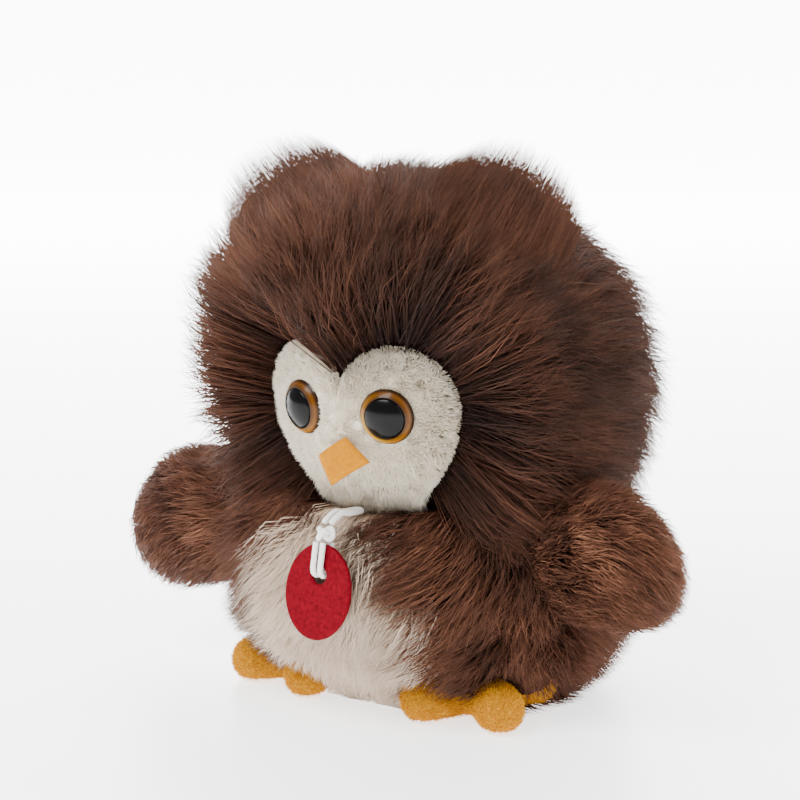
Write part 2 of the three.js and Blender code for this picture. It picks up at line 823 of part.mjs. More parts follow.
piece(owl, 'body_cover', geometryOf(bodyCover), brownPlush);
piece(owl, 'belly_panel', geometryOf(bellyPanel), whitePlush);
piece(owl, 'body_filling', geometryOf(bodyFilling), polyesterFibre);
piece(owl, 'pellet_bag', geometryOf(pelletBag), pelletCloth);
const baseDisc = new THREE.CylinderGeometry(basePanelRadius, basePanelRadius, basePanelThickness, 32);
const basePanel = piece(owl, 'base_panel', baseDisc, calico);
basePanel.rotation.x = 90 * degree;
basePanel.position.set(0, bodySetBack, basePanelThickness / 2);
piece(owl, 'foot_left', geometryOf(leftFoot(0, 0, 0)), yellowPlush);
piece(owl, 'foot_right', geometryOf(mirrored(leftFoot(0, 0, 0))), yellowPlush);

for (const [name, side, lift] of [['left', 1, leftWingLift], ['right', -1, rightWingLift]]) {
  const { cover, filling } = wing(side, lift);
  const group = new THREE.Group();
  group.position.copy(wingSeat(side));
  group.rotation.copy(wingTurn(side, lift));
  owl.add(group);
  piece(group, `wing_${name}`, geometryOf(cover), brownPlush);
  piece(group, `wing_${name}_filling`, geometryOf(filling), polyesterFibre);
}

piece(owl, 'cord_hanger', hanger(), whiteElastic);
const tagGroup = new THREE.Group();
tagGroup.position.set(0, -knotForward, knotHeight);
owl.add(tagGroup);
piece(tagGroup, 'cord_knot', knot(), whiteElastic);
const hanging = new THREE.Group();
hanging.rotation.x = -tagTilt * degree;
tagGroup.add(hanging);
piece(hanging, 'hang_tag', tag(), redFelt);
piece(hanging, 'cord_loop_left', tagStrand(1), whiteElastic);
piece(hanging, 'cord_loop_right', tagStrand(-1), whiteElastic);

export default owl;
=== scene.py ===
import bpy
import numpy as np
from mathutils import Matrix, Vector


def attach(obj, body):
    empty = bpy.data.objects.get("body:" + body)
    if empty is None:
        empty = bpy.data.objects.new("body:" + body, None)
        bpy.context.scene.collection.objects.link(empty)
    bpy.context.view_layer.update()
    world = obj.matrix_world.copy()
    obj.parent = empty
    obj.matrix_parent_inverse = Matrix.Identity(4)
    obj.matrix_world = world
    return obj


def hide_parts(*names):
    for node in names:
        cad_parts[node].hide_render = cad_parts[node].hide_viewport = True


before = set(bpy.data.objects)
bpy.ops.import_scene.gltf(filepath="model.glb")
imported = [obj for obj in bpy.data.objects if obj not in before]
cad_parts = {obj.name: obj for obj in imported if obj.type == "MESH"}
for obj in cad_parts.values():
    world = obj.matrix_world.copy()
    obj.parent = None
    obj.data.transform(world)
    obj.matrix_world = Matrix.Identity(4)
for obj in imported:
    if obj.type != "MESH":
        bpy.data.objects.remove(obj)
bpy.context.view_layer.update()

MM = 0.001

# Camera at the photograph's angle, about 0.7 m away, with the owl's head near the middle. Its shift
# puts the owl where the photograph's frame, 800 pixels wide, has it.
camera_azimuth, camera_elevation = np.radians([34.3, 9.0])
camera_distance = 0.687
camera_target = np.array([0, 0, 105.7]) * MM
camera_lens = 92.565
frame_pixels = 800
target_right, target_up = 21 / frame_pixels, 23 / frame_pixels

back = np.array([
    np.sin(camera_azimuth) * np.cos(camera_elevation),
    -np.cos(camera_azimuth) * np.cos(camera_elevation),
    np.sin(camera_elevation),
])
camera = bpy.data.objects.new("camera", bpy.data.cameras.new("camera"))
camera.location = camera_target + camera_distance * back
camera.rotation_euler = Vector(-back).to_track_quat("-Z", "Y").to_euler()
camera.data.lens = camera_lens
camera.data.sensor_width = 36
camera.data.shift_x = -target_right
camera.data.shift_y = -target_up
camera.data.clip_start = 0.01
bpy.context.scene.collection.objects.link(camera)
bpy.context.scene.camera = camera


# Floor and backdrop: one sheet of white background paper, four metres to each side, that hangs
# behind the owl and curves forward under it. Soft lamps stand upper left, to the right and behind.
def linear(colour):
    """sRGB hex colour as linear values: below 0.04045 divided by 12.92, above it a power of 2.4."""
    parts = np.array([int(colour[i:i + 2], 16) for i in (1, 3, 5)]) / 255
    curve = np.where(parts <= 0.04045, parts / 12.92, ((parts + 0.055) / 1.055) ** 2.4)
    return (*curve, 1)


def add(tree, kind, settings=None, inputs=None, stops=None):
    """Adds a node with its settings, values or links into its inputs, and a colour ramp's stops."""
    made = tree.nodes.new(kind)
    for key, value in (settings or {}).items():
        setattr(made, key, value)
    for key, value in (inputs or {}).items():
        if isinstance(value, bpy.types.NodeSocket):
            tree.links.new(value, made.inputs[key])
        else:
            made.inputs[key].default_value = value
    if stops:
        elements = made.color_ramp.elements
        while len(elements) < len(stops):
            elements.new(1)
        for element, (position, colour) in zip(elements, stops):
            element.position = position
            element.color = linear(colour)
    return made


def new_material(name):
    """Empty node material, with its tree and the socket that its shader goes into."""
    material = bpy.data.materials.new(name)
    material.use_nodes = True
    material.node_tree.nodes.clear()
    output = material.node_tree.nodes.new("ShaderNodeOutputMaterial")
    return material, material.node_tree, output.inputs["Surface"]


sweep_half_width, sweep_front, sweep_back, sweep_radius, sweep_height = 4.0, -4.0, 2.2, 1.2, 4.0
bend = np.linspace(0, np.pi / 2, 24)
run = np.concatenate([
    [sweep_front],
    sweep_back + sweep_radius * np.sin(bend),
    [sweep_back + sweep_radius],
])
rise = np.concatenate([[0], sweep_radius * (1 - np.cos(bend)), [sweep_height]])
across = np.array([-sweep_half_width, sweep_half_width])
paper_points = np.stack([
    np.tile(across, len(run)),
    np.repeat(run, 2),
    np.repeat(rise, 2),
], axis=1)
first = np.arange(len(run) - 1) * 2
paper_faces = np.stack([first, first + 1, first + 3, first + 2], axis=1)
paper_mesh = bpy.data.meshes.new("paper")
paper_mesh.from_pydata(paper_points.tolist(), [], paper_faces.tolist())
paper_mesh.polygons.foreach_set("use_smooth", np.ones(len(paper_faces), bool))
paper = bpy.data.objects.new("paper", paper_mesh)
paper.rotation_euler.z = camera_azimuth
bpy.context.scene.collection.objects.link(paper)

# Smooth white paper that glows: a painted glow, its emission, grows from 1.9 just behind the owl to 8 far
# behind it, so that it reads as an even white ground with a faint reflection of the toes.
material, tree, surface = new_material("white background paper")
coordinates = add(tree, "ShaderNodeTexCoord")
split = add(tree, "ShaderNodeSeparateXYZ", inputs={"Vector": coordinates.outputs["Object"]})
paper_glow = add(tree, "ShaderNodeMapRange", inputs={
    "Value": split.outputs["Y"],
    "From Min": 0.1,
    "From Max": 1.6,
    "To Min": 1.9,
    "To Max": 8.0,
})
shader = add(tree, "ShaderNodeBsdfPrincipled", inputs={
    "Base Color": linear("#ffffff"),
    "Roughness": 0.35,
    "Specular IOR Level": 0.3,
    "Emission Color": linear("#ffffff"),
    "Emission Strength": paper_glow.outputs["Result"],
})
tree.links.new(shader.outputs[0], surface)
paper_mesh.materials.append(material)

room = bpy.data.worlds.new("room")
room.use_nodes = True
room.node_tree.nodes["Background"].inputs["Color"].default_value = (1, 1, 1, 1)
room.node_tree.nodes["Background"].inputs["Strength"].default_value = 0.6
bpy.context.scene.world = room
for name, azimuth, elevation, distance, size, power in [
    ("key", -12, 50, 1.3, 0.7, 24),
    ("fill", 95, 20, 1.4, 1.2, 12),
    ("rim", 200, 60, 1.4, 0.9, 9),
]:
    lamp = bpy.data.objects.new(name, bpy.data.lights.new(name, "AREA"))
    round_to, up_to = np.radians([azimuth, elevation])
    towards = Vector((
        np.sin(round_to) * np.cos(up_to),
        -np.cos(round_to) * np.cos(up_to),
        np.sin(up_to),
    ))
    lamp.location = Vector(camera_target) + distance * towards
    lamp.rotation_euler = (-towards).to_track_quat("-Z", "Y").to_euler()
    lamp.data.size = size
    lamp.data.energy = power
    bpy.context.scene.collection.objects.link(lamp)


# Elastic cord: white braided elastic, 1.9 mm thick. It is caught in the neck seam, comes down in
# two strands to a knot, and goes on as a doubled loop through the tag's hole.
cord_diameter, cord_rib = 1.9 * MM, 0.8 * MM
cord_sides, cord_thread_scale = 12, 900.0
half_spacing = 1.35 * MM
knot_place = np.array([0, -54, 62.6]) * MM
knot_half = np.array([3.5, 3.4, 2.4]) * MM
neck_anchor = np.array([0, -35.4, 66.95]) * MM
tag_half_width, tag_half_height, tag_thickness = 12.6 * MM, 15.3 * MM, 2 * MM
tag_hole_radius, tag_hole_drop, tag_drop = 2.8 * MM, 10 * MM, 3.1 * MM
tag_turn = np.array(Matrix.Rotation(np.radians(-11), 3, "X"))
seam_gap = 0.3 * MM


def unit(vectors):
    """Vectors scaled to length one."""
    return vectors / np.maximum(np.linalg.norm(vectors, axis=-1, keepdims=True), 1e-12)


def curve_through(points, count):
    """Points spread along a smooth curve through the given ones: a Catmull-Rom cubic on each span."""
    ends = np.vstack([2 * points[0] - points[1], points, 2 * points[-1] - points[-2]])
    place = np.linspace(0, len(points) - 1, count)
    span = np.minimum(place.astype(int), len(points) - 2)
    t = (place - span)[:, None]
    a, b, c, d = (ends[span + i] for i in range(4))
    return b + 0.5 * t * (c - a + t * (2 * a - 5 * b + 4 * c - d + t * (3 * (b - c) + d - a)))


def grid_faces(rows, columns, closed_rows=False):
    """Quads between neighbouring points of rings, and between the last ring and the first if closed."""
    row = np.arange(rows if closed_rows else rows - 1)[:, None]
    column = np.arange(columns)[None, :]
    low, high = row * columns, ((row + 1) % rows) * columns
    following = (column + 1) % columns
    return np.stack([low + column, low + following, high + following, high + column], -1).reshape(-1, 4)


def new_piece(name, points, faces, material):
    """Smooth mesh object from an array of points and a list of faces, with one material."""
    mesh = bpy.data.meshes.new(name)
    mesh.from_pydata(np.asarray(points, float).tolist(), [], [list(map(int, face)) for face in faces])
    mesh.polygons.foreach_set("use_smooth", np.ones(len(mesh.polygons), bool))
    mesh.materials.append(material)
    piece = bpy.data.objects.new(name, mesh)
    bpy.context.scene.collection.objects.link(piece)
    return piece


def dress(piece, node, body):
    """Says which node a piece stands for and which body it rides on."""
    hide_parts(node)
    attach(piece, body)


def swept(path, radius, sides, reference):
    """Points of round sections along a path: each has its own radius and stands square to the path."""
    heading = unit(np.gradient(path, axis=0))
    side = unit(np.cross(heading, reference))
    other = np.cross(heading, side)
    angle = np.arange(sides) * 2 * np.pi / sides
    section = np.cos(angle)[:, None] * side[:, None] + np.sin(angle)[:, None] * other[:, None]
    return path[:, None] + section * np.broadcast_to(radius, len(path))[:, None, None]


def tube_faces(rows, sides):
    """Faces of a closed tube of rings: quads between rings, and a flat face over each end."""
    ends = [list(range(sides))[::-1], list(range((rows - 1) * sides, rows * sides))]
    return grid_faces(rows, sides).tolist() + ends


def elastic(points, count, reference):
    """Path, points and faces of a ribbed tube along a route: its radius is 1 + 0.06 cos of the way
    along it, one turn for each rib of the braid."""
    path = curve_through(points, count)
    travelled = np.concatenate([[0], np.cumsum(np.linalg.norm(np.diff(path, axis=0), axis=1))])
    ribs = 1 + 0.06 * np.cos(2 * np.pi * travelled / cord_rib)
    sections = swept(path, cord_diameter / 2 * ribs, cord_sides, reference)
    faces = [face[::-1] for face in tube_faces(count, cord_sides)]
    return path, sections.reshape(-1, 3), faces


# Braided elastic: white polyester threads about 0.4 mm apart over rubber. It looks matt, with a
# soft sheen and slanting threads.
elastic_material, tree, surface = new_material("white braided elastic")
coordinates = add(tree, "ShaderNodeTexCoord")
thread = add(tree, "ShaderNodeTexWave", {"bands_direction": "DIAGONAL"}, {
    "Vector": coordinates.outputs["Object"],
    "Scale": cord_thread_scale,
    "Distortion": 1.0,
})
bump = add(tree, "ShaderNodeBump", inputs={
    "Strength": 0.3,
    "Distance": 0.1 * MM,
    "Height": thread.outputs["Fac"],
})
shader = add(tree, "ShaderNodeBsdfPrincipled", inputs={
    "Base Color": linear("#f4f2ee"),
    "Roughness": 0.6,
    "Sheen Weight": 0.2,
    "Normal": bump.outputs["Normal"],
})
tree.links.new(shader.outputs[0], surface)

# Hanger: two strands from the knot's top, back over the belly's top edge, where they lie 1.2 mm
# higher than at the neck seam. There they join in a bend.
upwards = np.array([0.0, 0.0, 1.0])
hanger_start = knot_place[1] + knot_half[1] / 2
hanger_top = knot_place[2] + knot_half[2] + cord_diameter / 2
hanger_rest = neck_anchor[2]
bend_start = neck_anchor[1] - half_spacing
strand_out = np.array([
    [-half_spacing, hanger_start, hanger_top],
    [-half_spacing, hanger_start + 2.4 * MM, hanger_top + 1.2 * MM],
    [-half_spacing, hanger_start + 6 * MM, hanger_rest + 1.2 * MM],
    [-half_spacing, (hanger_start + bend_start) / 2 + 2 * MM, hanger_rest + 0.4 * MM],
    [-half_spacing, bend_start, hanger_rest],
    [-0.7 * half_spacing, neck_anchor[1] - 0.3 * half_spacing, hanger_rest],
])
strand_back = (strand_out * [-1, 1, 1])[::-1]
hanger_route = np.vstack([strand_out, neck_anchor, strand_back])
hanger_path, points, faces = elastic(hanger_route, 300, upwards)
hanger = new_piece("elastic_hanger", points, faces, elastic_material)
dress(hanger, "cord_hanger", "cord")

# Knot: an overhand knot pulled tight, the closed curve (sin t + 2 sin 2t, cos t - 2 cos 2t, -sin 3t).
knot_steps = 240
turn = np.linspace(0, 2 * np.pi, knot_steps, endpoint=False)
knot_path = np.stack([
    (np.sin(turn) + 2 * np.sin(2 * turn)) / 3,
    (np.cos(turn) - 2 * np.cos(2 * turn)) / 3,
    -np.sin(3 * turn),
], axis=1) * (knot_half - cord_diameter / 2) + knot_place
knot_sections = swept(np.vstack([knot_path[-1:], knot_path, knot_path[:1]]), cord_diameter / 2,
                      cord_sides, upwards)[1:-1]
knot = new_piece("elastic_knot", knot_sections.reshape(-1, 3),
                 grid_faces(knot_steps, cord_sides, closed_rows=True)[:, ::-1], elastic_material)
dress(knot, "cord_knot", "cord")


def hung(points):
    """Moves points from the knot's own frame, where the tag hangs straight down, to the tilted tag."""
    return points @ tag_turn.T + knot_place


# Loops: each strand falls straight from the knot, turns under the tag's hole in a half circle and
# climbs up its other side.
loop_offset = tag_thickness / 2 + cord_diameter / 2 + seam_gap
knot_bottom = -knot_half[2] - seam_gap
loop_bend = -tag_drop - tag_hole_drop + loop_offset
fall = np.linspace(knot_bottom, loop_bend, 4)
swing = np.radians([45, 90, 135])
loop_line = np.vstack([
    np.stack([np.full(4, -loop_offset), fall], 1),
    np.stack([-loop_offset * np.cos(swing), loop_bend - loop_offset * np.sin(swing)], 1),
    np.stack([np.full(4, loop_offset), fall[::-1]], 1),
])
loops = {}
for side, sign in (("left", 1), ("right", -1)):
    route = hung(np.column_stack([np.full(len(loop_line), sign * half_spacing), loop_line]))
    path, points, faces = elastic(route, 200, np.array([1.0, 0.0, 0.0]))
    loops[side] = new_piece(f"elastic_loop_{side}", points, faces, elastic_material)
    dress(loops[side], f"cord_loop_{side}", "tag")


# Hang tag: an oval die-cut from 2 mm wool felt, with rounded edges, a hole, and no print. Its face
# is a grid from the hole's edge to the oval's edge, over the front, round the rim and up the back.
felt_edge = np.radians(np.linspace(-90, 90, 9))
edge_share = 0.06
face_shares = np.linspace(edge_share, 1 - edge_share, 22)[1:-1]
tag_shares = np.concatenate([
    edge_share - edge_share * np.cos(felt_edge[::-1]),
    face_shares,
    1 - edge_share + edge_share * np.cos(felt_edge),
    face_shares[::-1],
])
tag_depths = tag_thickness / 2 * np.concatenate([
    np.sin(felt_edge[::-1]),
    -np.ones(len(face_shares)),
    np.sin(felt_edge),
    np.ones(len(face_shares)),
])
round_tag = np.linspace(0, 2 * np.pi, 120, endpoint=False)
hole_edge = np.stack([
    tag_hole_radius * np.cos(round_tag),
    -tag_drop - tag_hole_drop + tag_hole_radius * np.sin(round_tag),
], 1)
oval_edge = np.stack([
    tag_half_width * np.cos(round_tag),
    -tag_drop - tag_half_height + tag_half_height * np.sin(round_tag),
], 1)
flat = hole_edge[:, None] + (oval_edge - hole_edge)[:, None] * tag_shares[None, :, None]
tag_points = hung(np.stack([
    flat[..., 0],
    np.broadcast_to(tag_depths, flat.shape[:2]),
    flat[..., 1],
], axis=-1))


def felt_material(name, colour, shade):
    """Matted fibres: matt and slightly fuzzy. The dye clouds over about 1.1 mm, and the fibres lie
    about 0.3 mm apart, coarser than real ones so that they show."""
    material, tree, surface = new_material(name)
    coordinates = add(tree, "ShaderNodeTexCoord")
    cloud = add(tree, "ShaderNodeTexNoise", inputs={
        "Vector": coordinates.outputs["Object"],
        "Scale": 0.9 / MM,
        "Detail": 6.0,
        "Roughness": 0.7,
    })
    fibre = add(tree, "ShaderNodeTexNoise", inputs={
        "Vector": coordinates.outputs["Object"],
        "Scale": 3.2 / MM,
        "Detail": 3.0,
        "Distortion": 1.5,
    })
    dye = add(tree, "ShaderNodeValToRGB", inputs={"Fac": cloud.outputs["Fac"]}, stops=[
        (0.3, shade),
        (0.7, colour),
    ])
    bump = add(tree, "ShaderNodeBump", inputs={
        "Strength": 0.8,
        "Distance": 0.15 * MM,
        "Height": fibre.outputs["Fac"],
    })
    shader = add(tree, "ShaderNodeBsdfPrincipled", inputs={
        "Base Color": dye.outputs["Color"],
        "Roughness": 0.95,
        "Specular IOR Level": 0.1,
        "Normal": bump.outputs["Normal"],
    })
    tree.links.new(shader.outputs[0], surface)
    return material


# Pressed wool felt, dyed crimson: deep and quite matt, with a faint cloudiness.
red_felt = felt_material("red wool felt", "#820418", "#4c020e")
tag = new_piece("felt_tag", tag_points.reshape(-1, 3),
                grid_faces(len(round_tag), len(tag_shares), closed_rows=True), red_felt)
dress(tag, "hang_tag", "tag")


# Head core: a ball of brown knitted backing, stuffed tight with polyester fibre. The long pile
# of the hood stands on it, so only glimpses of the backing show.
head_centre = np.array([0, 0, 105.7]) * MM
head_turn = np.array(Matrix.Rotation(np.radians(-0.5), 3, "Z"))
head_half = np.array([46, 43, 46]) * MM
fabric = 1.6 * MM
cheek_pile, nape_pile, brow_pile, crown_pile = 29.5 * MM, 27 * MM, 26 * MM, 22.9 * MM
crown_squareness = 0.4
neck_height = 66 * MM
lobe_azimuth, lobe_latitude, lobe_radius, chin_drop = 23.4, -6.2, 26.3, 56
pile_ramp, edge_pile = 15, 4.2 * MM


def smooth(t):
    """0 below 0, 1 above 1, and 3t^2 - 2t^3 between."""
    share = np.clip(t, 0, 1)
    return share * share * (3 - 2 * share)


def facing(azimuth, latitude):
    """Unit vectors from degrees round from the face towards the owl's left, and degrees above level."""
    azimuth, latitude = np.radians(azimuth), np.radians(latitude)
    return np.stack(np.broadcast_arrays(
        np.sin(azimuth) * np.cos(latitude),
        -np.cos(azimuth) * np.cos(latitude),
        np.sin(latitude),
    ), -1)


def angles(directions):
    """Degrees round and degrees above level of unit vectors."""
    azimuth = np.degrees(np.arctan2(directions[..., 0], -directions[..., 1]))
    return azimuth, np.degrees(np.arcsin(np.clip(directions[..., 2], -1, 1)))


def head_reach(directions):
    """Distance from the head's centre to its filling: an ellipsoid."""
    return 1 / np.linalg.norm(directions / head_half, axis=-1)


def mask_margin(azimuth, latitude):
    """Degrees outside the mask's heart, less than 0 within it: the distance to the nearer of two
    discs. Below their middles it is no more than 50 times the share by which a place lies beyond an
    ellipse as wide as both."""
    down = latitude - lobe_latitude
    lobes = np.hypot(np.abs(azimuth) - lobe_azimuth, down) - lobe_radius
    ellipse = np.hypot(azimuth / (lobe_azimuth + lobe_radius), down / chin_drop) - 1
    return np.where(down > 0, lobes, np.minimum(lobes, ellipse * 50))


def pile_reach(directions):
    """Distance to the pile's tips: the reach at which the sum over the axes of (part over half size)
    to a power is 1. The power grows from 2 to 2.4 towards the crown, which squares it. Near the mask
    the reach eases down to the short pile at the sewn edge."""
    power = 2 + crown_squareness * smooth(directions[..., 2] * 2)
    half = head_half + fabric + np.stack(np.broadcast_arrays(
        cheek_pile,
        np.where(directions[..., 1] > 0, nape_pile, brow_pile),
        np.where(directions[..., 2] > 0, crown_pile, cheek_pile),
    ), -1)
    full = ((np.abs(directions) / half) ** power[..., None]).sum(-1) ** (-1 / power)
    edge = head_reach(directions) + edge_pile
    return edge + (full - edge) * smooth((mask_margin(*angles(directions)) + 1) / pile_ramp)


def on_head(points):
    """Moves points from the head's own frame, round its centre, to the turned head."""
    return points @ head_turn.T + head_centre


def pole_faces(rows, columns):
    """Faces of rings between two poles: a fan from the first point, quads, and a fan to the last."""
    around = np.arange(columns)
    following = (around + 1) % columns
    last = 1 + (rows - 1) * columns
    first_fan = np.stack([np.zeros_like(around), following + 1, around + 1], 1)
    last_fan = np.stack([last + around, last + following, np.full(columns, last + columns)], 1)
    return (grid_faces(rows, columns) + 1).tolist() + first_fan.tolist() + last_fan.tolist()


def ball(reach, rows, columns):
    """Closed surface round the origin, as far out in each direction as its reach says."""
    latitude = np.linspace(-90, 90, rows + 1)[1:-1, None]
    azimuth = np.linspace(0, 360, columns, endpoint=False)[None, :]
    directions = np.vstack([facing(0, -90), facing(azimuth, latitude).reshape(-1, 3), facing(0, 90)])
    return directions * reach(directions)[:, None], pole_faces(rows - 1, columns)


def egg(half_sizes):
    """Reach of an ellipsoid with the given half sizes: 1 over the length of direction over them."""
    return lambda directions: 1 / np.linalg.norm(directions / half_sizes, axis=-1)


stuffing_pressure, swelling_frames = 4, 20


def evaluated(piece):
    """A new mesh of the piece as its modifiers leave it."""
    graph = bpy.context.evaluated_depsgraph_get()
    return bpy.data.meshes.new_from_object(piece.evaluated_get(graph), depsgraph=graph)


def mesh_points(mesh):
    """Places of a mesh's points, one row each."""
    points = np.zeros(len(mesh.vertices) * 3)
    mesh.vertices.foreach_get("co", points)
    return points.reshape(-1, 3)


def stuffed(piece, voxel, most):
    """Fills a closed piece with stuffing: remeshes it, lets its cloth swell under pressure, moves no
    point further than most along its swelling, and smooths the shape with one subdivision."""
    remesh = piece.modifiers.new("remesh", "REMESH")
    remesh.mode = "VOXEL"
    remesh.voxel_size = voxel
    piece.data = evaluated(piece)
    piece.modifiers.clear()
    rest = mesh_points(piece.data)
    cloth = piece.modifiers.new("cloth", "CLOTH")
    cloth.settings.use_pressure = True
    cloth.settings.uniform_pressure_force = stuffing_pressure
    cloth.settings.effector_weights.gravity = 0
    cloth.point_cache.frame_start = 1
    cloth.point_cache.frame_end = swelling_frames
    for step in range(1, swelling_frames + 1):
        bpy.context.scene.frame_set(step)
    swollen = evaluated(piece)
    shift = mesh_points(swollen) - rest
    length = np.linalg.norm(shift, axis=1, keepdims=True)
    shift *= np.minimum(1, most / np.maximum(length, 1e-9))
    piece.modifiers.clear()
    piece.data = swollen
    piece.data.vertices.foreach_set("co", (rest + shift).ravel())
    bpy.context.scene.frame_set(1)
    piece.data.polygons.foreach_set("use_smooth", np.ones(len(piece.data.polygons), bool))
    subdivision = piece.modifiers.new("subdivision", "SUBSURF")
    subdivision.levels = subdivision.render_levels = 1
    return piece


def knit_material(name, colour, shade):
    """Knitted backing of a plush fabric: matt, with stitches 1 mm apart whose edges are darkened with
    painted shade.
    """
    material, tree, surface = new_material(name)
    coordinates = add(tree, "ShaderNodeTexCoord")
    stitches = add(tree, "ShaderNodeTexVoronoi", inputs={
        "Vector": coordinates.outputs["Object"],
        "Scale": 1 / MM,
    })
    dye = add(tree, "ShaderNodeValToRGB", inputs={"Fac": stitches.outputs["Distance"]}, stops=[
        (0.1, colour),
        (0.7, shade),
    ])
    bump = add(tree, "ShaderNodeBump", inputs={
        "Strength": 0.5,
        "Distance": 0.3 * MM,
        "Height": stitches.outputs["Distance"],
    })
    shader = add(tree, "ShaderNodeBsdfPrincipled", inputs={
        "Base Color": dye.outputs["Color"],
        "Roughness": 0.95,
        "Specular IOR Level": 0.1,
        "Normal": bump.outputs["Normal"],
    })
    tree.links.new(shader.outputs[0], surface)
    return material


# Knitted polyester, dyed dark brown: where the pile parts it shows as shade.
brown_backing = knit_material("brown knitted backing", "#2c1811", "#1c0f0a")
points, faces = ball(lambda directions: head_reach(directions) + 0.2 * MM, 32, 48)
head_core = new_piece("head_core", on_head(points), faces, brown_backing)
stuffed(head_core, 4 * MM, 1.2 * MM)
dress(head_core, "head_filling", "toy")


# Hood of long pile: acrylic faux fur in mottled chocolate browns, about 28 mm long, combed away
# from the face and down the back of the head. Every strand is a tapering three-sided hair.
strand_width, strand_frizz, strand_taper = 0.41 * MM, 0.24, 0.4
map_edge, map_half_width = 0.02, 0.004
ring = np.arange(3)
following = (ring + 1) % 3
golden_angle = np.pi * (3 - np.sqrt(5))


def strands(name, roots, lifts, tips, widths, tones, material, stops=(0.1, 0.7)):
    """Mesh of tapering strands. A strand follows root (1-t)^2 + 2 t (1-t) bend + tip t^2, where its
    bend lies half its length from the root along its lift and a random frizz, and it stays 0.5 mm or
    more over the floor. It has a ring at each stop of t, as wide as 1 - 0.4 t^2 of its width. Its
    map holds its tone and its t."""
    count, rings = len(roots), len(stops)
    low = 3 * np.arange(rings - 1)[:, None]
    quads = np.stack([low + ring, low + following, low + 3 + following, low + 3 + ring], -1)
    top = 3 * rings - 3 + np.stack([ring, following], 1)
    tip_faces = np.append(top, np.full((3, 1), 3 * rings), 1)
    corners = np.concatenate([[2, 1, 0], quads.ravel(), tip_faces.ravel()])
    sizes = np.concatenate([[3], np.full(3 * rings - 3, 4), [3, 3, 3]])
    starts = np.concatenate([[0], np.cumsum(sizes)[:-1]])
    length = np.linalg.norm(tips - roots, axis=1)
    frizz = np.random.default_rng(count + 1).normal(0, strand_frizz, (count, 3))
    bends = roots + (lifts + frizz) * (0.5 * length)[:, None]
    t = np.array(stops)[None, :, None]
    line = (1 - t) ** 2 * roots[:, None] + 2 * t * (1 - t) * bends[:, None] + t ** 2 * tips[:, None]
    line[..., 2] = np.maximum(line[..., 2], 0.5 * MM)
    random = np.random.default_rng(count)
    side = unit(np.cross(tips - roots, lifts + random.normal(size=(count, 3)) * 0.3))
    other = unit(np.cross(tips - roots, side))
    corner = random.uniform(0, 2 * np.pi, (count, 1)) + ring * 2 * np.pi / 3
    around = np.cos(corner)[..., None] * side[:, None] + np.sin(corner)[..., None] * other[:, None]
    girth = widths[:, None] / 2 * (1 - strand_taper * np.array(stops) ** 2)
    sections = line[:, :, None] + around[:, None] * girth[..., None, None]
    points = np.concatenate([sections.reshape(count, 3 * rings, 3), tips[:, None]], 1)
    mesh = bpy.data.meshes.new(name)
    mesh.vertices.add(count * (3 * rings + 1))
    mesh.loops.add(count * len(corners))
    mesh.polygons.add(count * len(sizes))
    strand = np.arange(count)[:, None]
    mesh.vertices.foreach_set("co", points.astype(np.float32).ravel())
    mesh.loops.foreach_set("vertex_index", (strand * (3 * rings + 1) + corners).ravel())
    mesh.polygons.foreach_set("loop_start", (strand * len(corners) + starts).ravel())
    mesh.polygons.foreach_set("use_smooth", np.ones(count * len(sizes), bool))
    mesh.update(calc_edges=True)
    across = np.append(np.tile([-map_half_width, 0, map_half_width], rings), 0)
    along = np.append(np.repeat(np.maximum(stops, map_edge), 3), 1 - map_edge)
    place = np.stack([
        (map_edge + (1 - 2 * map_edge) * np.clip(tones, 0, 1))[:, None] + across[corners],
        np.broadcast_to(along[corners], (count, len(corners))),
    ], -1)
    mesh.uv_layers.new(name="OFBake").data.foreach_set("uv", place.astype(np.float32).ravel())
    mesh.materials.append(material)
    piece = bpy.data.objects.new(name, mesh)
    bpy.context.scene.collection.objects.link(piece)
    return piece


def pile_material(name, tones, root, middle, tip, roughness, gloss):
    """Dyed acrylic pile: matt hair. A strand's tone picks its colour; painted shade darkens it towards its
    root and a painted highlight lightens its tip, so that a coat of them reads as deep."""
    material, tree, surface = new_material(name)
    place = add(tree, "ShaderNodeUVMap", {"uv_map": "OFBake"})
    split = add(tree, "ShaderNodeSeparateXYZ", inputs={"Vector": place.outputs["UV"]})
    shade = add(tree, "ShaderNodeValToRGB", inputs={"Fac": split.outputs["X"]}, stops=tones)
    # Painted shade at the root, painted highlight at the tip.
    depth = add(tree, "ShaderNodeValToRGB", inputs={"Fac": split.outputs["Y"]}, stops=[
        (0, root),
        (0.6, middle),
        (1, tip),
    ])
    colour = add(tree, "ShaderNodeMixRGB", {"blend_type": "MULTIPLY"}, {
        "Fac": 1.0,
        "Color1": shade.outputs["Color"],
        "Color2": depth.outputs["Color"],
    })
    shader = add(tree, "ShaderNodeBsdfPrincipled", inputs={
        "Base Color": colour.outputs["Color"],
        "Roughness": roughness,
        "Specular IOR Level": gloss,
    })
    tree.links.new(shader.outputs[0], surface)
    return material


def waves(points, seed, wavelength, count=12):
    """Smooth noise, mostly -1 to 1: sine waves in random directions near one wavelength, summed and
    divided by the square root of their number."""
    random = np.random.default_rng(seed)
    numbers = unit(random.normal(size=(count, points.shape[1]))) * 2 * np.pi / wavelength
    numbers *= random.uniform(0.6, 1.5, (count, 1))
    return np.sin(points @ numbers.T + random.uniform(0, 2 * np.pi, count)).sum(1) / np.sqrt(count)


def in_locks(centres, per_lock, spread, gather, random):
    """Strands' places in each lock: their roots spread round its middle, their tips gather to it."""
    offsets = random.normal(size=(len(centres), per_lock, centres.shape[1])) * spread
    roots = centres[:, None] + offsets
    tips = centres[:, None] + gather * offsets
    return roots.reshape(-1, centres.shape[1]), tips.reshape(-1, centres.shape[1])


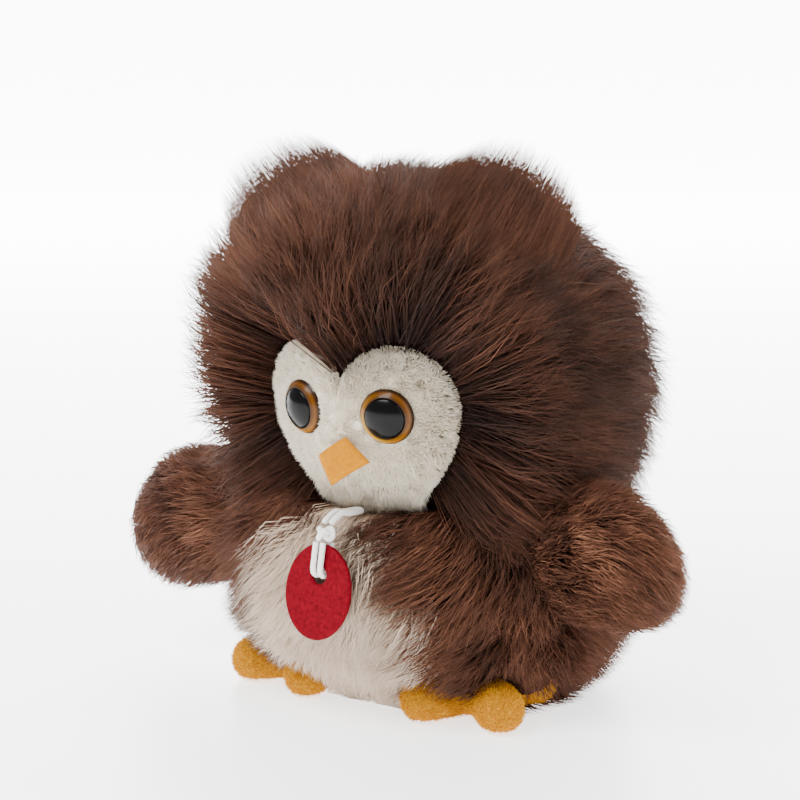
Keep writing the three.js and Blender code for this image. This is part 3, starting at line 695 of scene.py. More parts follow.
def lengths(locks, per_lock, random):
    """Share of full length of each strand: 1.14 to 1.32 for its lock, times 0.6 to 0.92 for nearly
    half the strands and 0.88 to 1.04 for the others."""
    lock = np.repeat(random.uniform(1.14, 1.32, locks), per_lock)
    under = random.random(locks * per_lock) < 0.45
    lower = random.uniform(0.6, 0.92, len(lock))
    upper = random.uniform(0.88, 1.04, len(lock))
    return lock * np.where(under, lower, upper)


def widths_of(count, random):
    """Width of each strand: 0.75 to 1.2 times the usual one."""
    return strand_width * random.uniform(0.75, 1.2, count)


def patches(points):
    """Tone of the fur at points, 0 dark to 1 pale: 0.48 with waves of about 22 mm and 7 mm."""
    return 0.48 + 0.12 * waves(points, 7, 22 * MM) + 0.07 * waves(points, 8, 7 * MM)


def tones_of(roots, locks, per_lock, random):
    """Tone of each strand: the patch it stands in, a random share for its lock and one of its own."""
    lock = np.repeat(random.normal(0, 0.07, locks), per_lock)
    return np.clip(patches(roots) + lock + random.normal(0, 0.08, len(roots)), 0, 1)


def wander(points, seed, wavelength):
    """Smooth noise along each of the three axes."""
    return np.stack([waves(points, seed + axis, wavelength) for axis in range(3)], 1)


# Acrylic faux fur, dyed mottled chocolate: soft matt hair, its roots darkened with painted shade and its
# tips lightened with a painted highlight.
brown_pile = pile_material("brown acrylic pile", [
    (0, "#29170f"),
    (0.25, "#462a1d"),
    (0.5, "#633e2c"),
    (0.75, "#81553f"),
    (1, "#ac7b5e"),
], "#78645a", "#c2b4aa", "#ffffff", 0.65, 0.2)

face = facing(0, -12)
hood_per_lock, hood_sag = 12, 2.5 * MM
lift_share = 0.14 / np.tan(np.radians(20))


def combed(directions):
    """Unit tangents: away from the face in front, turning to straight down behind."""
    behind = smooth(0.35 + directions[:, 1])[:, None]
    pull = -face * (1 - 0.85 * behind) - upwards * behind
    return unit(pull - directions * (directions * pull).sum(1, keepdims=True))


def shoulder_dip(directions):
    """How much lower the pile lies on the back of the owl's left: 8 mm, times a bell over latitude
    whose middle is at 36 degrees, times a rise from 50 to 90 degrees round and a fall from 145."""
    azimuth, latitude = angles(directions)
    bell = np.exp(-((latitude - 36) / 15) ** 2)
    return 8 * MM * bell * smooth((azimuth - 50) / 40) * smooth((175 - azimuth) / 30)


# Painted shade: a nearly black surface, with a felt's fibres and clouding, for the deep part of the coat
# that shows between the locks.
painted_shade_brown = felt_material("brown painted undercoat", "#2a1811", "#170d09")
shade_share = 0.72


def hood_under(directions):
    """Distance to the painted shade surface in the pile: 0.72 of the way up it, less near the mask, with
    waves 1 mm high."""
    base = head_reach(directions)
    rise = np.clip(pile_reach(directions) - shoulder_dip(directions) - base - edge_pile, 0, None)
    rise = rise * smooth((mask_margin(*angles(directions)) + 1) / 32)
    return base + 0.6 * MM + shade_share * rise + smooth(rise / (8 * MM)) * MM * waves(directions, 45, 0.16)


def shade_layer(name, points, faces, node, body, material):
    """Closed surface in the dense lower part of the pile, coloured as painted shade between its strands.
    """
    dress(new_piece(name, points, faces, material), node, body)


# The hood's painted shade surface, kept above the neck.
points, faces = ball(hood_under, 64, 96)
points = on_head(points)
points[:, 2] = np.maximum(points[:, 2], neck_height - 3 * MM)
shade_layer("hood_undercoat", points, faces, "head_cover", "toy", painted_shade_brown)


def hood_pile(name, low, high, count, seed):
    """Pile of the hood between two angles round from the face, as locks on a golden spiral. A
    strand's tip lies over its root, moved along the combing by the tan of its lock's lean and by a
    wandering sway. The lean is 10 degrees, with up to 6 more near the mask and 15 more behind."""
    random = np.random.default_rng(seed)
    number = np.arange(count) + 0.5
    latitude = np.degrees(np.arcsin(1 - 2 * number / count))
    azimuth = (np.degrees(number * golden_angle) + 180) % 360 - 180
    centres = facing(azimuth, latitude)
    margin = mask_margin(azimuth, latitude)
    reach = head_reach(centres)
    wanted = (margin > 0.8) & (centres[:, 2] * reach > neck_height - head_centre[2] - 1 * MM)
    wanted &= (azimuth % 360 >= low) & (azimuth % 360 < high)
    centres, margin = centres[wanted], margin[wanted]
    roots, tips = in_locks(centres, hood_per_lock, 0.03, 0.5, random)
    roots, tips = unit(roots), unit(tips)
    keep = mask_margin(*angles(roots)) > 0.2
    near_mask = (1 - smooth(margin / 45)) * (1 - 0.6 * smooth((-25 - latitude[wanted]) / 20))
    lean = np.radians(10 + 6 * near_mask + 15 * smooth((margin - 45) / 55))
    sway = 0.08 * wander(centres, 40, 0.35)
    sway += 0.04 * wander(centres, 50, 0.12)
    sway += random.normal(0, 0.05, sway.shape)
    shift = np.repeat(combed(centres) * np.tan(lean)[:, None] + sway, hood_per_lock, axis=0)
    heading = unit(tips + shift)
    share = lengths(len(centres), hood_per_lock, random)
    share = share * (1 - 0.06 * smooth((heading[:, 2] - 0.3) / 0.5))
    inner = roots * (head_reach(roots) + 0.4 * MM)[:, None]
    reach = head_reach(heading) + fabric
    full = pile_reach(heading) - shoulder_dip(heading) - reach
    outer = heading * (reach + full * share)[:, None]
    outer[:, 2] -= hood_sag * smooth(1 - np.abs(heading[:, 2]))
    lifts = unit(roots + lift_share * shift)
    # Tones are 0.1 lower all over, and up to 0.14 lower where strands head to the owl's left and higher to
    # its right: painted shade away from the key lamp, painted light towards it.
    tones = tones_of(inner, len(centres), hood_per_lock, random) - 0.1 - 0.14 * heading[:, 0]
    widths = widths_of(len(roots), random)
    keep &= on_head(outer)[:, 2] > neck_height - 14 * MM
    piece = strands(name, on_head(inner[keep]), lifts[keep] @ head_turn.T, on_head(outer[keep]),
                    widths[keep], tones[keep], brown_pile)
    dress(piece, "head_cover", "toy")


for name, low, high, count in [
    ("hood_pile_left", 0, 80, 11000),
    ("hood_pile_left_side", 80, 140, 8000),
    ("hood_pile_nape", 140, 220, 6600),
    ("hood_pile_right_side", 220, 280, 8000),
    ("hood_pile_right", 280, 360, 11000),
]:
    hood_pile(name, low, high, count, 100 + low)


# Face mask: cream fabric with a short brushed nap, heart-shaped at the top, sewn to the hood round
# its edge and drawn down over the stuffing, with a dart that runs down from the notch.

# Brushed cream plush: its knitted ground shows as a warm off-white between the nap's fibres.
cream_fabric = knit_material("cream plush backing", "#e4dbca", "#d2c7b4")
mask_nap = 2.6 * MM
nap_floor = 0.6 * mask_nap
socket_spread = 14
eye_azimuth, eye_latitude, eye_turn = 21.4, -7, 16
eye_directions = {
    "left": facing(eye_azimuth, eye_latitude),
    "right": facing(-eye_azimuth, eye_latitude),
}
mask_middle = np.array([0, -17])


def from_eye(directions, eye):
    """Degrees between directions and an eye's."""
    return np.degrees(np.arccos(np.clip(directions @ eye, -1, 1)))


def nap_share(directions):
    """Share of its full height that the nap stands to: each eye presses it flat, as a bell curve."""
    share = np.ones(directions.shape[:-1])
    for eye in eye_directions.values():
        share = share * (1 - np.exp(-(from_eye(directions, eye) / socket_spread) ** 2))
    return share


def round_mask(reach, bearing):
    """Degrees round and above level of places that many degrees from the mask's middle."""
    return mask_middle[0] + reach * np.cos(bearing), mask_middle[1] + reach * np.sin(bearing)


def mask_edge(bearing):
    """Degrees from the mask's middle to its outline along a bearing, by halving an interval 20 times."""
    low, high = np.zeros_like(bearing), np.full_like(bearing, 80.0)
    for step in range(20):
        middle = (low + high) / 2
        outside = mask_margin(*round_mask(middle, bearing)) > 0
        low, high = np.where(outside, low, middle), np.where(outside, middle, high)
    return (low + high) / 2


def lens(front, back, rings, columns):
    """Closed body from a front and a back sheet, each a function of a share and a bearing."""
    bearing = np.linspace(0, 2 * np.pi, columns, endpoint=False)
    shares = np.linspace(0, 1, rings + 1)[1:]
    rows = [front(share, bearing) for share in shares] + [back(share, bearing) for share in shares[::-1]]
    points = np.vstack([front(0, bearing[:1]), *rows, back(0, bearing[:1])])
    return points, [face[::-1] for face in pole_faces(2 * rings, columns)]


def mask_sheet(height, tuck):
    """Sheet over the mask's heart at a height over the filling. A sheet outside the filling carries
    0.6 of the nap. The outline is tucked in by the tenth power of the share of the way to it."""
    def sheet(share, bearing):
        directions = facing(*round_mask(mask_edge(bearing) * share, bearing))
        swell = height + nap_floor * nap_share(directions) * (height > 0)
        return directions * (head_reach(directions) + swell - tuck * share ** 10)[:, None]
    return sheet


points, faces = lens(mask_sheet(fabric, 3.4 * MM), mask_sheet(-9 * MM, -3 * MM), 16, 72)
mask_core = new_piece("mask_core", on_head(points), faces, cream_fabric)
stuffed(mask_core, 3 * MM, 0.8 * MM)
dress(mask_core, "face_mask", "toy")

# Brushed nap: short cream polyester fibre that lies every way, soft and quite matt, with painted shade at
# its roots.
cream_pile = pile_material("cream brushed nap", [
    (0, "#d6c8b2"),
    (0.4, "#efe6d4"),
    (1, "#fffaf0"),
], "#d8ccba", "#f6f0e6", "#ffffff", 0.8, 0.1)
random = np.random.default_rng(21)
spots = 54000
bare_socket = 9.5
azimuth = random.uniform(-51, 51, spots)
latitude = random.uniform(-60, 22, spots)
directions = facing(azimuth, latitude)
open_eye = np.min([from_eye(directions, eye) for eye in eye_directions.values()], axis=0)
wanted = (mask_margin(azimuth, latitude) < 0.5) & (open_eye > bare_socket)
wanted &= random.random(spots) < np.cos(np.radians(latitude))
wanted &= directions[:, 2] * head_reach(directions) + head_centre[2] > neck_height - 3 * MM
directions, azimuth, latitude = directions[wanted], azimuth[wanted], latitude[wanted]
margin = mask_margin(azimuth, latitude)

# The nap lies away from the beak, is shorter at the sewn edge and in the dart, and hangs at the chin.
combed_from = facing(0, -14)
outward = unit(directions - combed_from * (directions @ combed_from)[:, None])
outward = unit(outward + 0.3 * wander(directions, 60, 0.12))
height = (0.35 + 0.65 * nap_share(directions)) * random.uniform(0.7, 1.2, len(directions))
hang = smooth((-38 - latitude) / 14)
height *= (1 - 0.45 * smooth((margin + 4) / 4) * (1 - hang)) * (1 + hang)
height *= 1 - 0.6 * np.exp(-(azimuth / 1.3) ** 2) * smooth((latitude + 6) / 4)
rim = 1.2 * MM * smooth((margin + 3) / 3)
ground = head_reach(directions) + nap_floor * nap_share(directions) + 1.5 * MM - rim
inner = directions * ground[:, None]
outer = inner + (directions * 1.0 * MM + outward * 1.8 * MM) * height[:, None]
outer[:, 2] -= 5 * MM * hang * random.uniform(0.5, 1, len(inner))
mask_tones = 0.55 + 0.12 * waves(inner, 70, 5 * MM) + random.normal(0, 0.14, len(inner))
mask_pile = strands("mask_nap", on_head(inner), directions @ head_turn.T, on_head(outer),
                    np.full(len(inner), 0.42 * MM), mask_tones, cream_pile, (0,))
dress(mask_pile, "face_mask", "toy")


# Safety eyes: an 18 mm dome of clear amber plastic with a black dome pupil set into it. A stem goes
# through the mask's fabric into a washer inside the head.
eye_radius, eye_dome, eye_rim = 9 * MM, 5.2 * MM, 0.9 * MM
pupil_radius, pupil_seat = 6.5 * MM, 1.7 * MM
stem_radius, stem_length = 2.1 * MM, 13 * MM
dome_curve = (eye_radius ** 2 + (eye_dome - eye_rim) ** 2) / (2 * (eye_dome - eye_rim))


def dome(radius):
    """Height of the eye's dome over the fabric at a distance from its axis: part of a sphere."""
    return seam_gap + eye_dome - dome_curve + np.sqrt(dome_curve ** 2 - radius ** 2)


def eye_frame(side):
    """An eye's seat on the fabric and its right, up and front, which is turned outwards."""
    direction = eye_directions[side]
    front = facing(eye_turn if side == "left" else -eye_turn, eye_latitude)
    right = unit(np.cross(front, upwards))
    return direction * (head_reach(direction) + fabric), right, np.cross(right, front), front


def at_eye(profile, side, sides=72):
    """Points and faces of a turned solid on an eye's axis; the profile runs from axis to axis."""
    place, right, up, front = eye_frame(side)
    angle = np.arange(sides) * 2 * np.pi / sides
    round_axis = np.cos(angle)[:, None] * right + np.sin(angle)[:, None] * up
    rings = place + profile[1:-1, None, :1] * round_axis + profile[1:-1, None, 1:] * front
    ends = place + profile[[0, -1], 1:] * front
    points = np.vstack([ends[:1], rings.reshape(-1, 3), ends[1:]])
    return on_head(points), [face[::-1] for face in pole_faces(len(profile) - 2, sides)]


def front_map(piece, side):
    """Gives a piece a map of its front view: 0.5 at the eye's axis, 0.05 and 0.95 at its rim."""
    place, right, up, front = eye_frame(side)
    local = (mesh_points(piece.data) - head_centre) @ head_turn - place
    flat = 0.5 + 0.45 * np.stack([local @ right, local @ up], 1) / eye_radius
    corner = np.zeros(len(piece.data.loops), int)
    piece.data.loops.foreach_get("vertex_index", corner)
    piece.data.uv_layers.new(name="OFBake").data.foreach_set("uv", flat[corner].astype(np.float32).ravel())


# Clear acrylic, painted amber behind: glossy. It is darkest at its rim and round its pupil, and a painted
# glow lightens its lower right, where light from the upper left would gather.
amber, tree, surface = new_material("clear amber plastic")
place = add(tree, "ShaderNodeUVMap", {"uv_map": "OFBake"})
from_axis = add(tree, "ShaderNodeVectorMath", {"operation": "DISTANCE"}, {
    0: place.outputs["UV"],
    1: (0.5, 0.5, 0.0),
})
to_corner = add(tree, "ShaderNodeVectorMath", {"operation": "DISTANCE"}, {
    0: place.outputs["UV"],
    1: (0.78, 0.22, 0.0),
})
depth = add(tree, "ShaderNodeValToRGB", inputs={"Fac": from_axis.outputs["Value"]}, stops=[
    (0.32, "#241200"),
    (0.35, "#7a5600"),
    (0.4, "#c89400"),
    (0.44, "#3c2600"),
])
# Painted glow, brightest towards the lower right.
painted_glow = add(tree, "ShaderNodeValToRGB", inputs={"Fac": to_corner.outputs["Value"]}, stops=[
    (0.1, "#ffffff"),
    (0.4, "#b8a044"),
    (0.7, "#7c6420"),
])
colour = add(tree, "ShaderNodeMixRGB", {"blend_type": "MULTIPLY"}, {
    "Fac": 1.0,
    "Color1": depth.outputs["Color"],
    "Color2": painted_glow.outputs["Color"],
})
shader = add(tree, "ShaderNodeBsdfPrincipled", inputs={
    "Base Color": colour.outputs["Color"],
    "Roughness": 0.3,
    "Specular IOR Level": 0.15,
    "Coat Weight": 0.12,
    "Coat Roughness": 0.1,
})
tree.links.new(shader.outputs[0], surface)

# Black ABS, polished: nearly black, with one small highlight.
black, tree, surface = new_material("black plastic")
shader = add(tree, "ShaderNodeBsdfPrincipled", inputs={
    "Base Color": linear("#060505"),
    "Roughness": 0.18,
    "Specular IOR Level": 0.14,
})
tree.links.new(shader.outputs[0], surface)

# Moulded polyethylene: milky white, half matt.
washer_material, tree, surface = new_material("moulded white plastic")
shader = add(tree, "ShaderNodeBsdfPrincipled", inputs={
    "Base Color": linear("#e8e6e0"),
    "Roughness": 0.45,
})
tree.links.new(shader.outputs[0], surface)

rim_round, rim_height = 0.35 * MM, 0.5 * MM
over_seat = np.linspace(pupil_radius + seam_gap, eye_radius - rim_round, 12)
lip = np.radians(np.linspace(70, -60, 6))
amber_profile = np.array([
    [0, pupil_seat],
    [pupil_radius + seam_gap, pupil_seat],
    *np.stack([over_seat, dome(over_seat)], 1),
    *np.stack([
        eye_radius - rim_round + rim_round * np.cos(lip),
        seam_gap + rim_height + rim_round * np.sin(lip),
    ], 1),
    [eye_radius - 0.3 * MM, seam_gap],
    [stem_radius, seam_gap],
    [stem_radius, -stem_length],
    [0, -stem_length],
])
over_pupil = np.linspace(0, pupil_radius - 0.1 * MM, 16)
pupil_profile = np.array([
    *np.stack([over_pupil, dome(over_pupil)], 1),
    [pupil_radius, dome(pupil_radius) - 0.15 * MM],
    [pupil_radius, pupil_seat + seam_gap],
    [0, pupil_seat + seam_gap],
])
for side in ("left", "right"):
    for name, profile, material, slot in [
        ("eye", amber_profile, amber, "amber_plastic"),
        ("pupil", pupil_profile, black, "black_plastic"),
    ]:
        points, faces = at_eye(profile, side)
        piece = new_piece(f"{name}_dome_{side}", points, faces, material)
        front_map(piece, side)
        dress(piece, f"{name}_{side}", "toy")
    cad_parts[f"eye_washer_{side}"].data.materials.append(washer_material)


# Beak: a kite of orange felt, folded a little down its middle. It is sewn to the mask at its upper
# edge and stands off it at its lower tip.
beak_half_width, beak_upper, beak_lower = 9.8 * MM, 6.6 * MM, 10 * MM
beak_thickness, beak_curve, beak_tilt = 2.2 * MM, 18 * MM, np.radians(30)
beak_azimuth, beak_latitude, beak_corner = 4, -16.5, 0.93


def beak_sheet(face_sign):
    """Sheet of the kite: a diamond whose corners are cut back a little. It is bent round an upright
    axis by side^2 over twice the curve's radius, and thins to its edge by the eighth power."""
    def sheet(share, bearing):
        across, up = np.cos(bearing), np.sin(bearing)
        tall = np.where(up > 0, beak_upper, beak_lower)
        diamond = 1 / (np.abs(across) / beak_half_width + np.abs(up) / tall)
        longest = np.maximum(np.abs(across) * beak_half_width, np.abs(up) * tall)
        cut_back = (beak_corner * longest / np.maximum(np.abs(across), np.abs(up))
                    + 0.05 * beak_half_width)
        reach = np.minimum(diamond, cut_back)
        side, height = across * reach * share, up * reach * share - beak_upper
        edge = np.sqrt(np.clip(1 - share ** 8, 0, 1))
        depth = -beak_thickness / 2 * (1 + face_sign * edge) + side ** 2 / (2 * beak_curve)
        return np.stack(np.broadcast_arrays(side, depth, height), -1)
    return sheet


# Pressed wool felt, dyed orange yellow: flat and matt.
orange_felt = felt_material("orange wool felt", "#cc8600", "#b06c00")
points, faces = lens(beak_sheet(1), beak_sheet(-1), 14, 96)
top = facing(beak_azimuth, beak_latitude)
beak_place = top * (head_reach(top) + fabric + mask_nap * nap_share(top) + seam_gap)
beak_turn = Matrix.Rotation(np.radians(beak_azimuth), 3, "Z") @ Matrix.Rotation(-beak_tilt, 3, "X")
points = points @ np.array(beak_turn).T + beak_place
beak = new_piece("felt_beak", on_head(points), faces, orange_felt)
dress(beak, "beak", "toy")


# Ear tufts: two small stuffed cones of the hood's fabric near the crown's corners, with pile that
# stands up and outwards.
ear_azimuth, ear_latitude, ear_reach = 72.5, 58, 84 * MM
ear_half_length, ear_fan = 22 * MM, 23 * MM
ear_core_half = np.array([8, 8, 9]) * MM
ear_shade_half = np.array([19, 19, 18]) * MM
ear_locks, ear_per_lock = 760, 12
ear_root_cone, ear_dome = np.radians([20, 85])
number = np.arange(ear_locks)[:, None]
spoke = np.sqrt((number + 0.5) / ear_locks)
ear_centres = spoke * np.hstack([np.cos(number * golden_angle), np.sin(number * golden_angle)])
for side, sign, outwards in (("left", 1, 5 * MM), ("right", -1, 10 * MM)):
    random = np.random.default_rng(30 + sign)
    direction = facing(sign * ear_azimuth, ear_latitude)
    middle = direction * (ear_reach - ear_half_length)
    aside = unit(np.cross(direction, [0, 1.0, 0]))
    ear_axes = np.stack([aside, np.cross(direction, aside), direction])
    lean_out = np.array([sign * outwards, 0, 0])
    points, faces = ball(egg(ear_core_half), 16, 24)
    core = new_piece(f"ear_core_{side}", on_head(points @ ear_axes + middle), faces, brown_backing)
    stuffed(core, 3 * MM, 0.6 * MM)
    # Painted shade inside the ear's pile: a nearly black ellipsoid a little outwards of the core, for the
    # shade between its strands.
    points, faces = ball(egg(ear_shade_half), 16, 24)
    shade_layer(f"ear_undercoat_{side}", on_head(points @ ear_axes + middle + 0.6 * lean_out), faces,
              f"ear_{side}", "toy", painted_shade_brown)

    # Roots stand within 20 degrees of the ear's axis, and tips lie on a dome over its middle.
    roots, tips = in_locks(ear_centres, ear_per_lock, 0.07, 0.6, random)
    share = lengths(ear_locks, ear_per_lock, random)
    heading = unit(np.column_stack([np.tan(ear_root_cone * roots), np.ones(len(roots))]))
    inner = heading @ ear_axes
    inner = inner * (head_reach(inner) + 2 * MM)[:, None]
    polar = np.clip(np.linalg.norm(tips, axis=1), 0, 1.1) * ear_dome
    wide = unit(tips) * (ear_fan * np.sin(polar))[:, None]
    outer = np.column_stack([wide, ear_half_length * np.cos(polar)]) @ ear_axes + middle + lean_out
    outer = inner + (outer - inner) * np.clip(share, 0, 1.22)[:, None]
    widths = widths_of(len(inner), random)
    tones = tones_of(inner, ear_locks, ear_per_lock, random)
    lifts = unit(inner - middle + direction * 6 * MM)
    pile = strands(f"ear_pile_{side}", on_head(inner), lifts @ head_turn.T, on_head(outer), widths,
                   tones, brown_pile)
    for piece in (core, pile):
        dress(piece, f"ear_{side}", "toy")


# Body core: a round bag of backing fabric on a flat base, stuffed with polyester fibre over a
# pellet bag. The pile of the back, sides and belly stands on it.
body_half_width, body_widest = 44.5 * MM, 28 * MM
body_lower_taper, body_upper_taper, body_set_back = 34 * MM, 51.4 * MM, 6 * MM
side_pile, belly_pile = 22 * MM, 18 * MM
throat_tuck, hem_tuck, shoulder_flare = 8 * MM, 11 * MM, 6 * MM
belly_widest, belly_half_angle = 34 * MM, 40


def body_radius(height):
    """Radius of the body's filling at a height: a quarter ellipse below the widest place and above it."""
    taper = np.where(height < body_widest, body_lower_taper, body_upper_taper)
    return body_half_width * np.sqrt(np.clip(1 - ((height - body_widest) / taper) ** 2, 0, 1))


def body_middle(height):
    """How far back the filling's middle stands at a height."""
    return body_set_back * (1 - smooth((height - body_widest) / (neck_height - body_widest)))


def body_pile(height, azimuth):
    """Length of pile at a height and degrees round: the sides' length, which flares towards the
    shoulders, changes to the belly's, shorter at throat and hem, by the square of the cosine."""
    front = np.maximum(0, np.cos(np.radians(azimuth))) ** 2
    rise = smooth((height - body_widest) / (neck_height - body_widest))
    drop = smooth((body_widest - height) / body_widest)
    side = side_pile + shoulder_flare * rise
    return fabric + side + front * (belly_pile - throat_tuck * rise - hem_tuck * drop - side)


def belly_angle(height):
    """Half angle of the belly panel: 40 degrees at its widest place, less a parabola each way that
    takes 16 degrees at the neck and 10 at the hem."""
    up = height > belly_widest
    span = np.where(up, neck_height - belly_widest, belly_widest)
    return belly_half_angle - np.where(up, 16, 10) * ((height - belly_widest) / span) ** 2


def on_body(height, azimuth, radius):
    """Points at a height, degrees round from the face and a distance from the filling's middle."""
    points = facing(azimuth, 0) * np.asarray(radius)[..., None]
    points[..., 1] += body_middle(height)
    points[..., 2] = height
    return points


def throat_rise(height):
    """0 up to the throat, at 46 mm, and rising to 1 at 60 mm."""
    return smooth((height - 46 * MM) / (14 * MM))


def shoulder_rise(height):
    """0 up to 30 mm and rising to 1 at the shoulders, at 42 mm."""
    return smooth((height - 30 * MM) / (12 * MM))


def body_levels(above_hem, count):
    """Heights of the body's rings: five at the hem, then as many as wanted up to the neck."""
    return np.concatenate([np.linspace(1.6, 8, 5), np.linspace(above_hem, 65.4, count)]) * MM


levels, columns = body_levels(11, 18), np.linspace(0, 360, 64, endpoint=False)
level, column = np.meshgrid(levels, columns, indexing="ij")
rings = on_body(level, column, body_radius(level) + 0.2 * MM)
body_core = new_piece("body_core", rings.reshape(-1, 3), tube_faces(*level.shape), brown_backing)
stuffed(body_core, 4 * MM, 1 * MM)
dress(body_core, "body_filling", "toy")


# Belly panel: white plush fabric sewn into the front of the body, over the same stuffing.

# Knitted polyester, undyed: a greyish white that shows as soft shade between the locks.
white_backing = knit_material("white knitted backing", "#ddd2c9", "#c2b4aa")
belly_rise, belly_overlap = 31 * MM, 1.04


def belly_place(share, bearing):
    """Height, degrees round and filling's radius at a place on the belly panel: it reaches 31 mm up
    and down from its widest place, and 1.04 of its half angle to each side."""
    up = belly_widest + belly_rise * np.sin(bearing) * share
    across = np.cos(bearing) * share * belly_angle(up) * belly_overlap
    return up, across, body_radius(np.clip(up, 4 * MM, 65 * MM))


def belly_sheet(height_over):
    """Sheet over the belly panel at a distance from the filling, eased to it at the panel's edge."""
    def sheet(share, bearing):
        up, across, radius = belly_place(share, bearing)
        return on_body(up, across, radius + height_over * (1 - share ** 8))
    return sheet


points, faces = lens(belly_sheet(2 * MM), belly_sheet(-7 * MM), 16, 64)
belly_core = new_piece("belly_core", points, faces, white_backing)
stuffed(belly_core, 3 * MM, 0.8 * MM)
dress(belly_core, "belly_panel", "toy")


# Body pile: the same brown faux fur as the hood round the sides and back, and long white pile on the
# belly. It hangs down, and beside the belly the brown pile sweeps forward over the white.

# Acrylic faux fur, white: long soft hair with painted beige shade at its roots and a painted highlight at
# its tips.
white_pile = pile_material("white acrylic pile", [
    (0, "#b09880"),
    (0.3, "#d0bba6"),
    (0.6, "#e6d4c2"),
    (1, "#fbeede"),
], "#a48c78", "#ece2d8", "#ffffff", 0.6, 0.25)
toe_root_radius, toe_clearance = 5.4 * MM, 8.6 * MM
toe_start = np.array([33 * MM, -12 * MM, toe_root_radius])
toe_tips = np.array([
    [23.6, -33],
    [49.8, -28.5],
    [43, 3],
]) * MM
tag_clearance, tag_press = 2.5 * MM, 12 * MM


def toe_room(points):
    """How deep points lie in the room of the toes: 8.6 mm rods along the toes and on past their tips."""
    depth = np.full(len(points), -1.0)
    for sign in (1, -1):
        for tip in toe_tips:
            heading = unit(np.append(tip - toe_start[:2], 2 * MM))
            local = points * [sign, 1, 1] - toe_start
            reach = np.linalg.norm(tip - toe_start[:2]) + 4 * MM
            along = np.clip(local @ heading, 0, reach)
            away = np.linalg.norm(local - along[:, None] * heading, axis=1)
            depth = np.maximum(depth, toe_clearance - away)
    return depth


def trimmed(inner, outer):
    """Tips drawn back along their strands, in 8 steps, until they leave the toes' room."""
    for step in range(8):
        drawn_back = outer + 0.18 * (inner - outer) + [0, 0, 0.6 * MM]
        outer = np.where(toe_room(outer)[:, None] > 0, drawn_back, outer)
    return outer


def behind_tag(points):
    """Points pressed back to 2.5 mm behind the hanging tag where it lies against the belly, and less
    in a band round it."""
    local = (points - knot_place) @ tag_turn
    drop = local[:, 2] + tag_drop + tag_half_height
    near = smooth(3.2 - 2.2 * np.hypot(local[:, 0] / tag_half_width, drop / tag_half_height))
    pressed_to = near * (tag_thickness / 2 + tag_clearance + tag_press) - tag_press
    local[:, 1] = np.maximum(local[:, 1], pressed_to)
    return hung(local)


# Painted shade in the body's brown pile: a nearly black tube about 0.6 of the way up it, lower at the
# throat and drawn in to the filling over the belly.
columns = np.linspace(-180, 180, 96, endpoint=False)
level, column = np.meshgrid(body_levels(10, 28), columns, indexing="ij")
inner = on_body(level, column, body_radius(level)).reshape(-1, 3)
throat = smooth((level - 46 * MM) / (12 * MM)) * smooth((66 - np.abs(column)) / 16)
brown_share = (0.6 - 0.4 * throat) * smooth((np.abs(column) - belly_angle(level) + 2) / 8)
radius = body_radius(level) + brown_share * body_pile(level, column)
outer = on_body(level, column, radius).reshape(-1, 3)
outer = inner + (outer - inner) * (1 + 0.08 * waves(inner, 46, 9 * MM))[:, None]
shade_layer("body_undercoat", trimmed(inner, outer), tube_faces(*level.shape), "body_cover", "toy",
          painted_shade_brown)


def belly_under(share, bearing):
    """Sheet over the belly panel, 0.6 of the way up its pile, lower at the throat and at its edge."""
    up, across, radius = belly_place(share, bearing)
    tall = 0.6 - 0.35 * throat_rise(up)
    outer = on_body(up, across, radius + tall * body_pile(up, across) * (1 - share ** 6))
    return behind_tag(trimmed(on_body(up, across, 0 * radius), outer))


# Painted shade: a greyish white surface, with a felt's fibres and clouding, for the shaded depth of the
# belly's coat.
painted_shade_white = felt_material("white painted undercoat", "#d6c6b6", "#a8968a")
points, faces = lens(belly_under, belly_sheet(-7 * MM), 24, 96)
shade_layer("belly_undercoat", points, faces, "belly_panel", "toy", painted_shade_white)


